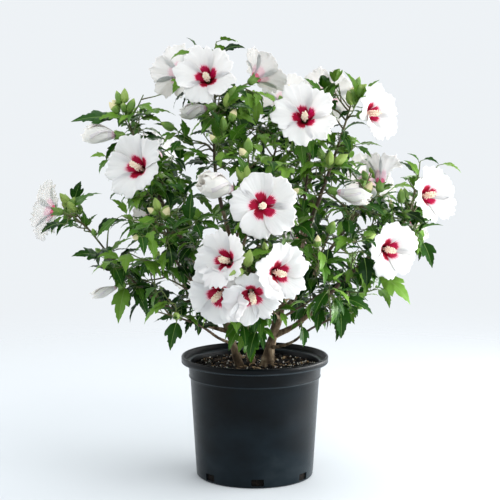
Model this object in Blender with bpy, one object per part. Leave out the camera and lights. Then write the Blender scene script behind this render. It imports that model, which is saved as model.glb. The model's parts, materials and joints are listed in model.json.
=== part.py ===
"""A rose of sharon in flower, in its nursery pot.

Pot, potting mix, stems and boughs are one object each, and so is every leafy shoot with its blooms and buds.
Metres, +Z up. The origin is the middle of the pot's flat underside, and the fullest side of the crown faces -Y.
Run it with: blender --background --python part.py
"""

import math
import random
from collections import namedtuple

import bpy
import numpy as np
from mathutils import Matrix, Vector
from mathutils.bvhtree import BVHTree

# ---- pot and potting mix
RIM_RADIUS = 0.118  # over the rolled lip
POT_HEIGHT = 0.195
FOOT_RADIUS = 0.094
WALL = 0.0022
LIP_DEPTH = 0.011  # height of the rolled lip
LIP_OVERHANG = 0.0115  # from the outside of the lip in to the collar below it
COLLAR_DEPTH = 0.034  # from the top of the lip down to the step in the wall
COLLAR_STEP = 0.0014  # how far the collar stands out from the wall below it
DRAIN_HOLES = 7
DRAIN_TURN = math.radians(2.6)  # of the front hole, off straight ahead
DRAIN_WIDTH = 0.020
DRAIN_LOW, DRAIN_HIGH = 0.0035, 0.0150
POT_SIDES = 36
SOIL_DROP = 0.017  # potting mix below the top of the lip
CLEAR = 0.0003  # gap between solids that touch

# ---- plant
SOIL_TOP = POT_HEIGHT - SOIL_DROP
STEM_SIDES, BOUGH_SIDES, TWIG_SIDES = 8, 6, 3
ROOT_FLARE = 0.55  # share by which a stem widens at the soil
FLARE_HEIGHT = 0.012
TWIG_RADIUS, TWIG_TIP_RADIUS = 0.0015, 0.0009
TWIG_LENGTH = 0.078
LEAF_LENGTH, LEAF_WIDTH, LEAF_THICKNESS = 0.063, 0.62, 0.022  # the last two are shares of its length
LEAF_STEP = 0.0255  # between leaves along a shoot
LEAF_WIDEST = 0.42  # share of the blade's length
LEAF_TRIES, TWIG_TRIES = 7, 6  # turns tried before a leaf or a twig is skipped
GOLDEN_ANGLE = math.radians(137.5)
CALYX_LENGTH = 0.015  # down from the throat of a bloom
PEDICEL = 0.0125  # from the end of a flowering twig to the throat of its bloom
BUD_LENGTH, BUD_RADIUS = 0.023, 0.0062
BUD_STEP = 0.007  # between buds along the end of a shoot
SKIRT_HEIGHT, SKIRT_RISE = 0.190, 0.62  # no leaf hangs below a cone that starts here, over the lip of the pot
MARGIN = 0.0035  # what each shoot keeps from its neighbours' ground, from limbs and from blooms
SEED = 7

WHOLE = "rose_of_sharon"  # the empty that carries every piece
POT, MIX, WOOD, LEAF = "pot_plastic", "potting_mix", "wood", "leaf"
PETAL, COLUMN, BUD = "petal", "cream_column", "bud_green"
COLOURS = {  # base colour, roughness
    POT: ((0.018, 0.019, 0.021), 0.42),
    MIX: ((0.045, 0.030, 0.020), 0.95),
    WOOD: ((0.16, 0.11, 0.07), 0.80),
    LEAF: ((0.055, 0.150, 0.030), 0.50),
    PETAL: ((0.90, 0.90, 0.88), 0.55),
    COLUMN: ((0.88, 0.78, 0.50), 0.60),
    BUD: ((0.20, 0.34, 0.08), 0.55),
}

Limb = namedtuple("Limb", "name parent share foot tip bow root_radius tip_radius")
# A stem's foot is where it leaves the potting mix. A bough leaves its parent at a share of the parent's length.
LIMBS = (
    Limb("stem_left", None, 0, (-0.024, -0.006), (-0.112, -0.016, 0.378), (0.012, 0.0, 0.012), 0.0066, 0.0036),
    Limb("stem_centre", None, 0, (-0.006, 0.020), (-0.052, 0.014, 0.430), (0.010, 0.016, 0.0), 0.0062, 0.0032),
    Limb("stem_right", None, 0, (0.018, -0.002), (0.084, 0.000, 0.398), (-0.006, 0.004, 0.010), 0.0092, 0.0036),
    Limb("bough_far_left", "stem_left", 0.26, None, (-0.118, -0.026, 0.266), (0.0, 0.0, -0.006), 0.0036, 0.0026),
    Limb("bough_low_left", "stem_left", 0.17, None, (-0.070, -0.066, 0.244), (0.0, -0.010, -0.004), 0.0030, 0.0022),
    Limb("bough_mid_left", "stem_left", 0.50, None, (-0.106, -0.066, 0.334), (0.0, -0.010, -0.004), 0.0032, 0.0024),
    Limb("bough_far_right", "stem_right", 0.20, None, (0.106, -0.020, 0.284), (0.010, 0.0, -0.008), 0.0052, 0.0034),
    Limb("bough_low_right", "stem_right", 0.12, None, (0.072, -0.064, 0.238), (0.010, -0.010, -0.004), 0.0030, 0.0022),
    Limb("bough_mid_right", "stem_right", 0.58, None, (0.118, -0.024, 0.368), (0.010, 0.0, -0.008), 0.0034, 0.0026),
    Limb("bough_inner_right", "stem_right", 0.40, None, (0.082, -0.050, 0.322), (0.006, -0.010, -0.008), 0.0030, 0.0022),
    Limb("bough_front", "stem_right", 0.33, None, (0.014, -0.100, 0.300), (0.004, -0.012, -0.008), 0.0036, 0.0028),
    Limb("bough_high_front", "stem_centre", 0.62, None, (-0.014, -0.060, 0.396), (0.0, -0.012, -0.008), 0.0034, 0.0026),
    Limb("bough_high_right", "stem_right", 0.72, None, (0.074, -0.038, 0.408), (0.004, -0.010, -0.008), 0.0032, 0.0026),
    Limb("bough_back_left", "stem_left", 0.42, None, (-0.104, 0.070, 0.330), (-0.004, 0.012, -0.010), 0.0036, 0.0026),
    Limb("bough_back_right", "stem_right", 0.45, None, (0.106, 0.078, 0.330), (0.006, 0.012, -0.010), 0.0038, 0.0028),
    Limb("bough_back", "stem_centre", 0.34, None, (0.002, 0.104, 0.308), (0.0, 0.010, -0.010), 0.0036, 0.0028),
    Limb("bough_basal", "stem_centre", 0.12, None, (-0.008, -0.018, 0.232), (0.0, -0.006, -0.004), 0.0026, 0.0020),
    Limb("bough_low_back_left", "stem_centre", 0.16, None, (-0.060, 0.080, 0.250), (0.0, 0.008, -0.006), 0.0030, 0.0022),
    Limb("bough_low_back_right", "stem_centre", 0.21, None, (0.062, 0.080, 0.252), (0.006, 0.008, -0.006), 0.0030, 0.0022),
    Limb("bough_high_back", "stem_centre", 0.78, None, (0.004, 0.064, 0.432), (0.0, 0.010, -0.008), 0.0030, 0.0024),
)

Mass = namedtuple("Mass", "name limb tip bow twigs buds")
# Each shoot carries on from its limb's tip. bow is how far the bend's control point stands off the straight line.
MASSES = (
    Mass("foliage_upper_left", "stem_left", (-0.208, -0.024, 0.596), (-0.004, 0.0, -0.006), 7, 4),
    Mass("foliage_far_left", "bough_far_left", (-0.290, -0.030, 0.438), (-0.010, 0.0, -0.026), 7, 4),
    Mass("foliage_low_left", "bough_low_left", (-0.150, -0.104, 0.282), (0.0, 0.0, 0.010), 4, 0),
    Mass("foliage_mid_left", "bough_mid_left", (-0.146, -0.112, 0.438), (-0.012, -0.006, -0.004), 6, 3),
    Mass("foliage_top", "stem_centre", (-0.062, 0.012, 0.654), (-0.010, -0.004, 0.0), 7, 2),
    Mass("foliage_high_front", "bough_high_front", (-0.010, -0.110, 0.524), (0.0, -0.022, -0.010), 5, 2),
    Mass("foliage_basal", "bough_basal", (-0.014, -0.066, 0.292), (0.0, -0.010, 0.006), 4, 0),
    Mass("foliage_front", "bough_front", (-0.010, -0.176, 0.366), (0.0, -0.010, -0.020), 4, 3),
    Mass("foliage_high_right", "bough_high_right", (0.090, -0.050, 0.566), (0.0, -0.020, -0.010), 6, 3),
    Mass("foliage_upper_right", "stem_right", (0.158, 0.000, 0.618), (0.010, 0.0, 0.0), 6, 4),
    Mass("foliage_mid_right", "bough_mid_right", (0.170, -0.038, 0.452), (0.014, -0.010, -0.010), 5, 2),
    Mass("foliage_inner_right", "bough_inner_right", (0.112, -0.116, 0.404), (0.0, -0.010, -0.010), 4, 1),
    Mass("foliage_far_right", "bough_far_right", (0.270, -0.022, 0.458), (0.030, 0.0, -0.034), 7, 2),
    Mass("foliage_low_right", "bough_low_right", (0.146, -0.108, 0.282), (0.0, 0.0, 0.010), 4, 0),
    Mass("foliage_back_left", "bough_back_left", (-0.176, 0.170, 0.500), (-0.030, 0.020, -0.030), 7, 3),
    Mass("foliage_back_right", "bough_back_right", (0.196, 0.164, 0.474), (0.030, 0.020, -0.030), 7, 3),
    Mass("foliage_back", "bough_back", (-0.006, 0.226, 0.420), (0.0, 0.030, -0.030), 6, 3),
    Mass("foliage_low_back_left", "bough_low_back_left", (-0.164, 0.156, 0.306), (0.0, 0.0, 0.010), 5, 0),
    Mass("foliage_low_back_right", "bough_low_back_right", (0.164, 0.158, 0.302), (0.0, 0.0, 0.010), 5, 0),
    Mass("foliage_high_back", "bough_high_back", (0.052, 0.106, 0.604), (-0.010, 0.026, -0.010), 6, 3),
)

Bloom = namedtuple("Bloom", "mass throat azimuth elevation radius length")
# Azimuth 0 faces -Y and 90 faces +X. An open bloom has a length of 0, and a rolled one is a spindle of that length.
BLOOMS = (
    Bloom("foliage_top", (-0.077, -0.062, 0.641), -12, 12, 0.051, 0),
    Bloom("foliage_top", (-0.122, 0.004, 0.646), -72, 12, 0.045, 0),
    Bloom("foliage_top", (0.000, 0.024, 0.634), 112, 12, 0.048, 0),
    Bloom("foliage_top", (-0.074, -0.034, 0.592), -98, -12, 0.013, 0.044),
    Bloom("foliage_high_right", (0.076, -0.102, 0.580), 3, 5, 0.054, 0),
    Bloom("foliage_upper_right", (0.113, 0.030, 0.604), 158, 20, 0.048, 0),
    Bloom("foliage_upper_right", (0.182, -0.044, 0.586), 46, 3, 0.050, 0),
    Bloom("foliage_upper_left", (-0.180, -0.092, 0.505), -24, 10, 0.052, 0),
    Bloom("foliage_upper_left", (-0.216, -0.044, 0.550), -95, 4, 0.018, 0.054),
    Bloom("foliage_far_left", (-0.313, -0.044, 0.432), -108, 8, 0.047, 0),
    Bloom("foliage_far_left", (-0.216, -0.052, 0.313), -100, -16, 0.0075, 0.036),
    Bloom("foliage_high_front", (-0.034, -0.140, 0.474), -66, 14, 0.021, 0.054),
    Bloom("foliage_high_front", (0.011, -0.190, 0.453), 2, 4, 0.053, 0),
    Bloom("foliage_front", (-0.044, -0.214, 0.379), -30, 8, 0.045, 0),
    Bloom("foliage_front", (0.030, -0.216, 0.361), 28, -6, 0.049, 0),
    Bloom("foliage_front", (-0.054, -0.196, 0.329), -42, -30, 0.044, 0),
    Bloom("foliage_front", (-0.009, -0.224, 0.334), 0, -44, 0.045, 0),
    Bloom("foliage_mid_right", (0.126, -0.084, 0.465), 82, -12, 0.0125, 0.052),
    Bloom("foliage_mid_right", (0.198, -0.030, 0.484), 130, 58, 0.044, 0),
    Bloom("foliage_far_right", (0.270, -0.050, 0.456), 42, 0, 0.048, 0),
    Bloom("foliage_far_right", (0.208, -0.084, 0.379), 32, -3, 0.049, 0),
    Bloom("foliage_back_left", (-0.170, 0.214, 0.494), -150, 10, 0.049, 0),
    Bloom("foliage_back_left", (-0.238, 0.126, 0.430), -112, 6, 0.047, 0),
    Bloom("foliage_back_right", (0.190, 0.212, 0.456), 148, 8, 0.050, 0),
    Bloom("foliage_back_right", (0.256, 0.116, 0.404), 106, 4, 0.046, 0),
    Bloom("foliage_high_back", (0.050, 0.158, 0.592), 172, 16, 0.050, 0),
    Bloom("foliage_back", (-0.044, 0.258, 0.414), -166, 4, 0.048, 0),
    Bloom("foliage_back", (0.050, 0.250, 0.372), 160, -4, 0.047, 0),
    Bloom("foliage_low_back_left", (-0.150, 0.196, 0.316), -140, -6, 0.046, 0),
    Bloom("foliage_high_back", (-0.060, 0.128, 0.560), -160, 8, 0.018, 0.052),
)

Leaf = namedtuple("Leaf", "base along up length")
Shoot = namedtuple("Shoot", "points radii")
Mesh = namedtuple("Mesh", "corners faces finishes")  # with a finish's name for each face


# ---- lines and frames
def bend(start, end, bow, count):
    """Points along one smooth bend from start to end."""
    control = (start + end) / 2 + bow
    shares = [i / (count - 1) for i in range(count)]
    return [start * (1 - t) ** 2 + control * (2 * t * (1 - t)) + end * t**2 for t in shares]


def sweep(start, leaving, end, arriving, count):
    """Points along a curve that leaves start and reaches end in given directions."""
    pull = (end - start).length * 0.38
    a, b = start + leaving * pull, end - arriving * pull
    shares = [i / (count - 1) for i in range(count)]
    return [
        start * (1 - t) ** 3 + a * (3 * t * (1 - t) ** 2) + b * (3 * t**2 * (1 - t)) + end * t**3 for t in shares
    ]


def heading(points, index):
    """Direction of a line of points at one of them."""
    before, after = max(index - 1, 0), min(index + 1, len(points) - 1)
    return (points[after] - points[before]).normalized()


def across(direction, hint=Vector((0, 0, 1))):
    """A unit vector square to direction, as near hint as it goes."""
    side = hint - direction * hint.dot(direction)
    if side.length < 0.05:
        return direction.orthogonal().normalized()
    return side.normalized()


def facing(bloom):
    a, e = math.radians(bloom.azimuth), math.radians(bloom.elevation)
    return Vector((math.sin(a) * math.cos(e), -math.cos(a) * math.cos(e), math.sin(e)))


def taper(root, tip, count):
    return [root + (tip - root) * i / (count - 1) for i in range(count)]


# ---- limbs: where stems and boughs run
def limb_lines():
    """{limb name: (points, radii)} of every stem and bough, roots first."""
    lines = {}
    for limb in LIMBS:
        if limb.parent is None:
            start = Vector((*limb.foot, SOIL_TOP + CLEAR))
            points = bend(start, Vector(limb.tip), Vector(limb.bow), 9)
            radii = taper(limb.root_radius, limb.tip_radius, 9)
            rise = [(point - start).length for point in points]
            radii = [r * (1 + ROOT_FLARE * math.exp(-s / FLARE_HEIGHT)) for r, s in zip(radii, rise)]
        else:
            parent_points = lines[limb.parent][0]
            place = limb.share * (len(parent_points) - 1)
            low = int(place)
            start = parent_points[low].lerp(parent_points[low + 1], place - low)
            points = bend(start, Vector(limb.tip), Vector(limb.bow), 5)
            radii = taper(limb.root_radius, limb.tip_radius, 5)
        lines[limb.name] = (points, radii)
    return lines


# ---- growth: the leader, flowering twigs, side twigs and leaves of each shoot
def leader_of(mass, limbs):
    """The shoot's main twig, which carries on from its limb's tip across a hair's gap."""
    limb_points, limb_radii = limbs[mass.limb]
    onward = heading(limb_points, len(limb_points) - 1)
    start, end = limb_points[-1] + onward * CLEAR, Vector(mass.tip)
    arriving = (end - start - Vector(mass.bow)).normalized()
    return Shoot(sweep(start, onward, end, arriving, 6), taper(limb_radii[-1], TWIG_TIP_RADIUS * 1.2, 6))


def flowering_twig(bloom, leader):
    """The twig from the leader to the back of a bloom."""
    face = facing(bloom)
    back = Vector(bloom.throat) - face * PEDICEL
    spring = 0.035  # how far before the nearest point of the leader the twig leaves it
    places = range(1, len(leader.points) - 1)
    root = min(places, key=lambda i: (leader.points[i] + heading(leader.points, i) * spring - back).length)
    start = leader.points[root]
    points = sweep(start, (heading(leader.points, root) + (back - start).normalized()).normalized(), back, face, 4)
    return Shoot(points, taper(TWIG_RADIUS * 1.1, TWIG_RADIUS, 4))


def spines_of(limbs):
    """{mass name: (leader, [flowering twigs])}"""
    spines = {}
    for mass in MASSES:
        leader = leader_of(mass, limbs)
        spines[mass.name] = (leader, [flowering_twig(b, leader) for b in BLOOMS if b.mass == mass.name])
    return spines


class Space:
    """Tells whether points lie in a shoot's own ground, clear of limbs, blooms and pot."""

    def __init__(self, limbs, spines):
        owned = [(name, p) for name, (leader, twigs) in spines.items() for s in (leader, *twigs) for p in s.points]
        self.names = np.array([name for name, _ in owned])
        self.spine = np.array([tuple(p) for _, p in owned])
        limb_points = [(tuple(p), r) for points, radii in limbs.values() for p, r in zip(points, radii)]
        limb_middles = [
            (tuple((points[i] + points[i + 1]) / 2), radii[i])
            for points, radii in limbs.values()
            for i in range(len(points) - 1)
        ]
        self.limb = np.array([p for p, _ in limb_points + limb_middles])
        self.limb_radius = np.array([r for _, r in limb_points + limb_middles])
        self.throats = np.array([b.throat for b in BLOOMS])
        self.faces = np.array([tuple(facing(b)) for b in BLOOMS])
        self.sizes = np.array([b.radius for b in BLOOMS])
        self.lengths = np.array([b.length for b in BLOOMS])

    def own(self, name, points):
        gaps = np.linalg.norm(points[:, None] - self.spine[None], axis=2)
        mine = gaps[:, self.names == name].min(axis=1)
        others = gaps[:, self.names != name].min(axis=1)
        return bool((mine + MARGIN < others).all())

    def off_limbs(self, points):
        gaps = np.linalg.norm(points[:, None] - self.limb[None], axis=2) - self.limb_radius
        return bool((gaps > MARGIN).all())

    def off_blooms(self, points):
        """Open blooms keep the funnel in front of their petals free, and rolled ones their own length."""
        away = points[:, None] - self.throats[None]
        ahead = (away * self.faces).sum(axis=2)
        aside = np.sqrt(np.maximum((away**2).sum(axis=2) - ahead**2, 0))
        is_open = self.lengths == 0
        in_funnel = (aside < self.sizes * 1.06) & (ahead > 0.34 * aside - 0.012) & (ahead < 0.060)
        in_roll = (aside < self.sizes + MARGIN) & (ahead > -PEDICEL) & (ahead < self.lengths + MARGIN)
        return not bool((in_funnel & is_open | in_roll & ~is_open).any())

    def off_pot(self, points):
        """Above the potting mix, over the lip, and beyond it above the crown's underside."""
        reach, height = np.hypot(points[:, 0], points[:, 1]), points[:, 2]
        low = np.where(reach < RIM_RADIUS * 0.8, SOIL_TOP, POT_HEIGHT)
        low = np.where(reach > RIM_RADIUS + MARGIN, SKIRT_HEIGHT + SKIRT_RISE * (reach - RIM_RADIUS), low)
        return bool((height > low + MARGIN).all())

    def free(self, name, points):
        points = np.array([tuple(p) for p in points])
        return self.off_pot(points) and self.own(name, points) and self.off_limbs(points) and self.off_blooms(points)


def leaf_marks(leaf):
    """Points that stand for a leaf's blade."""
    side = leaf.along.cross(leaf.up) * (leaf.length * LEAF_WIDTH / 2)
    middle = leaf.base + leaf.along * (leaf.length * LEAF_WIDEST)
    tip = leaf.base + leaf.along * leaf.length
    return [middle, middle + side, middle - side, (middle + tip) / 2, tip, (leaf.base + middle) / 2]


def leaf_at(base, line, turn, size, rng):
    """A leaf set at a turn round a shoot whose direction is line: it leans out and droops a little."""
    out = Matrix.Rotation(turn, 3, line) @ across(line)
    droop = rng.uniform(0.05, 0.75)
    along = (out + line * rng.uniform(0.25, 0.6) - Vector((0, 0, droop))).normalized()
    up = across(along, Vector((0, 0, 1)) + out * 0.5 + line * 0.4)
    up = Matrix.Rotation(rng.uniform(-0.4, 0.4), 3, along) @ up
    return Leaf(base, along, up, LEAF_LENGTH * size)


def length_of(shoot):
    return sum((b - a).length for a, b in zip(shoot.points, shoot.points[1:]))


def place_on(shoot, share):
    """(point, direction) at a share of a shoot's length."""
    place = share * (len(shoot.points) - 1)
    low = min(int(place), len(shoot.points) - 2)
    return shoot.points[low].lerp(shoot.points[low + 1], place - low), heading(shoot.points, low)


def leaf_places(shoot, first, last, rng):
    """[(share, turn, size)] of the leaves at even steps between two shares of a shoot's length."""
    count = max(1, round(length_of(shoot) * (last - first) / LEAF_STEP))
    turn = rng.uniform(0, math.tau)
    shares = [first + (last - first) * (k + 0.5) / count for k in range(count)]
    return [(share, turn + k * GOLDEN_ANGLE, rng.uniform(0.74, 1.16)) for k, share in enumerate(shares)]


def side_twig(leader, share, turn, length, lift):
    start, line = place_on(leader, share)
    out = Matrix.Rotation(turn, 3, line) @ across(line)
    leaving = (out + line * 0.7).normalized()
    end = start + (out * 0.85 + line * 0.45 + Vector((0, 0, 0.30))).normalized() * length
    arriving = (out * 0.6 + line * 0.5 + Vector((0, 0, lift))).normalized()
    return Shoot(sweep(start, leaving, end, arriving, 3), taper(TWIG_RADIUS, TWIG_TIP_RADIUS, 3))


class Growth:
    """Grows every shoot by one seeded rule. A twig or leaf that would leave its ground is turned, then skipped."""

    def __init__(self, limbs, limb_trees):
        self.spines = spines_of(limbs)
        self.space = Space(limbs, self.spines)
        self.trees = [(tree, None) for tree in limb_trees]  # with the shoot that each one belongs to
        self.frames = {}
        for number, mass in enumerate(MASSES):
            leader, flowering = self.spines[mass.name]
            frame = [tube(twig.points, twig.radii, TWIG_SIDES) for twig in (leader, *flowering)]
            frame += bud_meshes(mass, leader, number)
            own = [bloom for bloom in BLOOMS if bloom.mass == mass.name]
            frame += [rolled_bloom(bloom) if bloom.length else open_bloom(bloom) for bloom in own]
            self.frames[mass.name] = frame
            self.trees += [(tree_of(mesh), mass.name) for mesh in frame]

    def fits(self, mesh, carrier):
        """Tells whether a mesh crosses nothing but the twig that carries it. Takes its room if so."""
        tree = tree_of(mesh)
        if any(tree.overlap(other) for other, _ in self.trees if other is not carrier):
            return False
        self.trees.append((tree, None))
        return True

    def add_leaves(self, mass, shoot, carrier, places, rng):
        for share, turn, size in places:
            base, line = place_on(shoot, share)
            for k in range(LEAF_TRIES):
                leaf = leaf_at(base, line, turn + k * 0.9, size * (1 - 0.04 * k), rng)
                mesh = leaf_mesh(leaf)
                if self.space.free(mass.name, leaf_marks(leaf)) and self.fits(mesh, carrier):
                    self.frames[mass.name].append(mesh)
                    break

    def grow(self, mass, number):
        rng = random.Random(SEED * 1000 + number)
        leader, flowering = self.spines[mass.name]
        carriers = [tree for tree, owner in self.trees if owner == mass.name]
        shoots = [(leader, carriers[0], leaf_places(leader, 0.06, 0.92, rng))]
        for twig, carrier in zip(flowering, carriers[1:]):
            shoots.append((twig, carrier, leaf_places(twig, 0.25, 0.80, rng)))
        turn = rng.uniform(0, math.tau)
        for k in range(mass.twigs):
            share = 0.08 + 0.84 * (k + rng.uniform(0.2, 0.8)) / mass.twigs
            length, lift = TWIG_LENGTH * rng.uniform(0.80, 1.15) * (1 - 0.25 * share), rng.uniform(0.1, 0.9)
            for attempt in range(TWIG_TRIES):
                angle = turn + k * GOLDEN_ANGLE + attempt * 1.1
                twig = side_twig(leader, share, angle, length * (1 - 0.07 * attempt), lift)
                mesh = tube(twig.points, twig.radii, TWIG_SIDES)
                if self.space.free(mass.name, twig.points[1:]) and self.fits(mesh, carriers[0]):
                    self.frames[mass.name].append(mesh)
                    places = leaf_places(twig, 0.28, 0.88, rng) + [(0.985, angle + side, 1.0) for side in (0, math.pi)]
                    shoots.append((twig, self.trees[-1][0], places))
                    break
        for shoot, carrier, places in shoots:
            self.add_leaves(mass, shoot, carrier, places, rng)
        return self.frames[mass.name]


# ---- closed meshes
def tree_of(mesh):
    return BVHTree.FromPolygons([tuple(corner) for corner in mesh.corners], mesh.faces)


def plain(corners, faces, finish):
    return Mesh(corners, faces, [finish] * len(faces))


def polygon(radius, height, sides):
    """Corners of a level regular polygon, anticlockwise seen from above."""
    angles = [math.tau * k / sides for k in range(sides)]
    return [Vector((math.cos(a) * radius, math.sin(a) * radius, height)) for a in angles]


def stitched(rings, finishes):
    """Closes rings of corners, each anticlockwise seen from beyond the last. An end ring is one corner or flat.

    finishes has one name for each gap between rings. Next to a larger ring, corners spread evenly along it.
    """
    faces, used, first = [], [], 0
    if len(rings[0]) > 1:
        faces.append(tuple(reversed(range(len(rings[0])))))
        used.append(finishes[0])
    for ring, following, finish in zip(rings, rings[1:], finishes):
        low, high = len(ring), len(following)
        few, many, step = min(low, high), max(low, high), max(low, high) // min(low, high)
        ring_few, ring_many = (first, first + low) if low <= high else (first + low, first)
        for k in range(few):
            along = [ring_many + (k * step + i) % many for i in range(step + 1)]
            found = [(ring_few + k, p, q) for p, q in zip(along, along[1:])]
            if few > 1:
                found.append((ring_few + k, along[-1], ring_few + (k + 1) % few))
            faces += found if low > high else [tuple(reversed(face)) for face in found]
            used += [finish] * len(found)
        first += low
    if len(rings[-1]) > 1:
        faces.append(tuple(range(first, first + len(rings[-1]))))
        used.append(finishes[-1])
    return Mesh([corner for ring in rings for corner in ring], faces, used)


def tube(points, radii, sides, flat_foot=False):
    """A closed tapering limb. flat_foot cuts its root level."""
    corners, normal = [], across(heading(points, 0), Vector((0, 1, 0)))
    for i, (point, radius) in enumerate(zip(points, radii)):
        line = heading(points, i)
        normal = across(line, normal)
        other = line.cross(normal)
        for k in range(sides):
            a = math.tau * k / sides
            corner = point + (normal * math.cos(a) + other * math.sin(a)) * radius
            if flat_foot and i == 0:
                corner += line * ((point.z - corner.z) / line.z)
            corners.append(corner)
    faces = [tuple(reversed(range(sides)))]
    for i in range(len(points) - 1):
        for k in range(sides):
            a, b = i * sides + k, i * sides + (k + 1) % sides
            faces.append((a, b, b + sides, a + sides))
    faces.append(tuple(range((len(points) - 1) * sides, len(points) * sides)))
    return plain(corners, faces, WOOD)


def lathe(profile, sides, finish):
    """Turns a profile of (radius, height) round Z. It starts and ends on the axis and runs anticlockwise."""
    rings = [[Vector((0, 0, profile[0][1]))]]
    rings += [polygon(radius, height, sides) for radius, height in profile[1:-1]]
    rings.append([Vector((0, 0, profile[-1][1]))])
    return stitched(rings, [finish] * (len(rings) - 1))


def turned(mesh, base, direction, spin=0.0):
    """A mesh built along +Z, set at a base and along a direction."""
    side = across(direction)
    turn = Matrix((direction.cross(side), side, direction)).transposed() @ Matrix.Rotation(spin, 3, "Z")
    return mesh._replace(corners=[base + turn @ corner for corner in mesh.corners])


def leaf_mesh(leaf):
    """A blade of six faces: foot, two shoulders and drooping tip, with a keel under its middle."""
    side = leaf.along.cross(leaf.up) * (leaf.length * LEAF_WIDTH / 2)
    middle = leaf.base + leaf.along * (leaf.length * LEAF_WIDEST)
    fold = leaf.up * (leaf.length * 0.03)
    tip = leaf.base + (leaf.along - leaf.up * 0.16) * leaf.length
    keel = middle - leaf.up * (leaf.length * LEAF_THICKNESS)
    corners = [leaf.base, middle + side + fold, tip, middle - side + fold, keel]
    return plain(corners, [(0, 1, 3), (2, 3, 1), (1, 0, 4), (2, 1, 4), (3, 2, 4), (0, 3, 4)], LEAF)


def open_bloom(bloom):
    """Calyx, five petals that flare with a notch between them, and the column, as one closed body."""
    petal = ((-36, 0.76, 0.34), (-16, 1.0, 0.31), (16, 1.0, 0.31))  # angle, reach, rise
    rim = [(math.radians(72 * k + angle), reach, rise) for k in range(5) for angle, reach, rise in petal]
    rim = [Vector((math.cos(a) * reach, math.sin(a) * reach, rise)) * bloom.radius for a, reach, rise in rim]
    rings = [polygon(0.0042, -CALYX_LENGTH, 5), polygon(0.0056, -0.001, 5), rim]
    rings += [polygon(0.0040, 0.003, 5), polygon(0.0036, 0.022, 5), [Vector((0, 0, 0.032))]]
    mesh = stitched(rings, [BUD, PETAL, PETAL, COLUMN, COLUMN])
    return turned(mesh, Vector(bloom.throat), facing(bloom), math.radians(bloom.azimuth * 0.3))


def rolled_bloom(bloom):
    """Calyx and furled petals as one closed body."""
    girth = ((0.05, 0.42), (0.40, 0.92), (0.72, 1.0), (0.95, 0.55))  # shares of length and radius
    rings = [polygon(0.0042, -CALYX_LENGTH, 6)]
    rings += [polygon(width * bloom.radius, along * bloom.length, 6) for along, width in girth]
    rings.append([Vector((0, 0, bloom.length))])
    mesh = stitched(rings, [BUD, PETAL, PETAL, PETAL, PETAL])
    return turned(mesh, Vector(bloom.throat), facing(bloom))


def bud_meshes(mass, leader, number):
    """Buds that crowd the end of a leader: one at its tip and the rest below it."""
    rng = random.Random(SEED * 2000 + number)
    length = length_of(leader)
    meshes = []
    for k in range(mass.buds):
        base, line = place_on(leader, 1 - (k * BUD_STEP + 0.001) / length)
        lean = Matrix.Rotation(k * GOLDEN_ANGLE, 3, line) @ across(line)
        direction = (line + lean * 1.1 + Vector((0, 0, 0.3))).normalized() if k else line
        size = BUD_LENGTH * rng.uniform(0.8, 1.15)
        bud = lathe(((0, 0), (BUD_RADIUS, size * 0.62), (0, size)), 5, BUD)
        meshes.append(turned(bud, base, direction))
    return meshes


# ---- Blender objects
def material(name):
    found = bpy.data.materials.get(name)
    if found:
        return found
    made = bpy.data.materials.new(name)
    made.use_nodes = True
    colour, roughness = COLOURS[name]
    shader = made.node_tree.nodes["Principled BSDF"]
    shader.inputs["Base Color"].default_value = (*colour, 1)
    shader.inputs["Roughness"].default_value = roughness
    made.diffuse_color = (*colour, 1)
    return made


def mesh_object(name, mesh, collection=None):
    data = bpy.data.meshes.new(name)
    data.from_pydata([tuple(corner) for corner in mesh.corners], [], mesh.faces)
    finishes = list(dict.fromkeys(mesh.finishes))
    for finish in finishes:
        data.materials.append(material(finish))
    data.polygons.foreach_set("material_index", [finishes.index(finish) for finish in mesh.finishes])
    data.update()
    made = bpy.data.objects.new(name, data)
    (collection or bpy.context.scene.collection).objects.link(made)
    return made


def mesh_of(made):
    """The plain corners and faces of an object."""
    return plain([v.co.copy() for v in made.data.vertices], [tuple(p.vertices) for p in made.data.polygons], WOOD)


def set_smooth(made, degrees=40):
    made.data.shade_smooth()
    made.data.set_sharp_from_angle(angle=math.radians(degrees))


def apply_modifiers(made):
    graph = bpy.context.evaluated_depsgraph_get()
    data = bpy.data.meshes.new_from_object(made.evaluated_get(graph))
    made.modifiers.clear()
    made.data = data


def keep_main_body(made):
    """Drops loose scraps and sealed hollows that a union leaves: all but the body with the most volume."""
    data = made.data
    group = np.arange(len(data.vertices))
    edges = np.array([e.vertices[:] for e in data.edges])
    while True:  # each vertex takes the lowest number that it is joined to
        low = np.minimum(group[edges[:, 0]], group[edges[:, 1]])
        before = group.copy()
        np.minimum.at(group, edges[:, 0], low)
        np.minimum.at(group, edges[:, 1], low)
        group = group[group]
        if (group == before).all():
            break
    points = np.array([v.co[:] for v in data.vertices])
    data.calc_loop_triangles()
    triangles = np.array([t.vertices[:] for t in data.loop_triangles])
    a, b, c = (points[triangles[:, i]] for i in range(3))
    volumes = np.bincount(group[triangles[:, 0]], np.einsum("ij,ij->i", a, np.cross(b, c)), minlength=len(points))
    keep = group == volumes.argmax()
    if keep.all():
        return
    numbers = np.cumsum(keep) - 1
    faces = [[int(numbers[v]) for v in p.vertices] for p in data.polygons if keep[p.vertices[0]]]
    slots = [p.material_index for p in data.polygons if keep[p.vertices[0]]]
    whole = bpy.data.meshes.new(data.name)
    whole.from_pydata([tuple(p) for p in points[keep]], [], faces)
    for finish in data.materials:
        whole.materials.append(finish)
    whole.polygons.foreach_set("material_index", slots)
    made.data = whole


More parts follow.
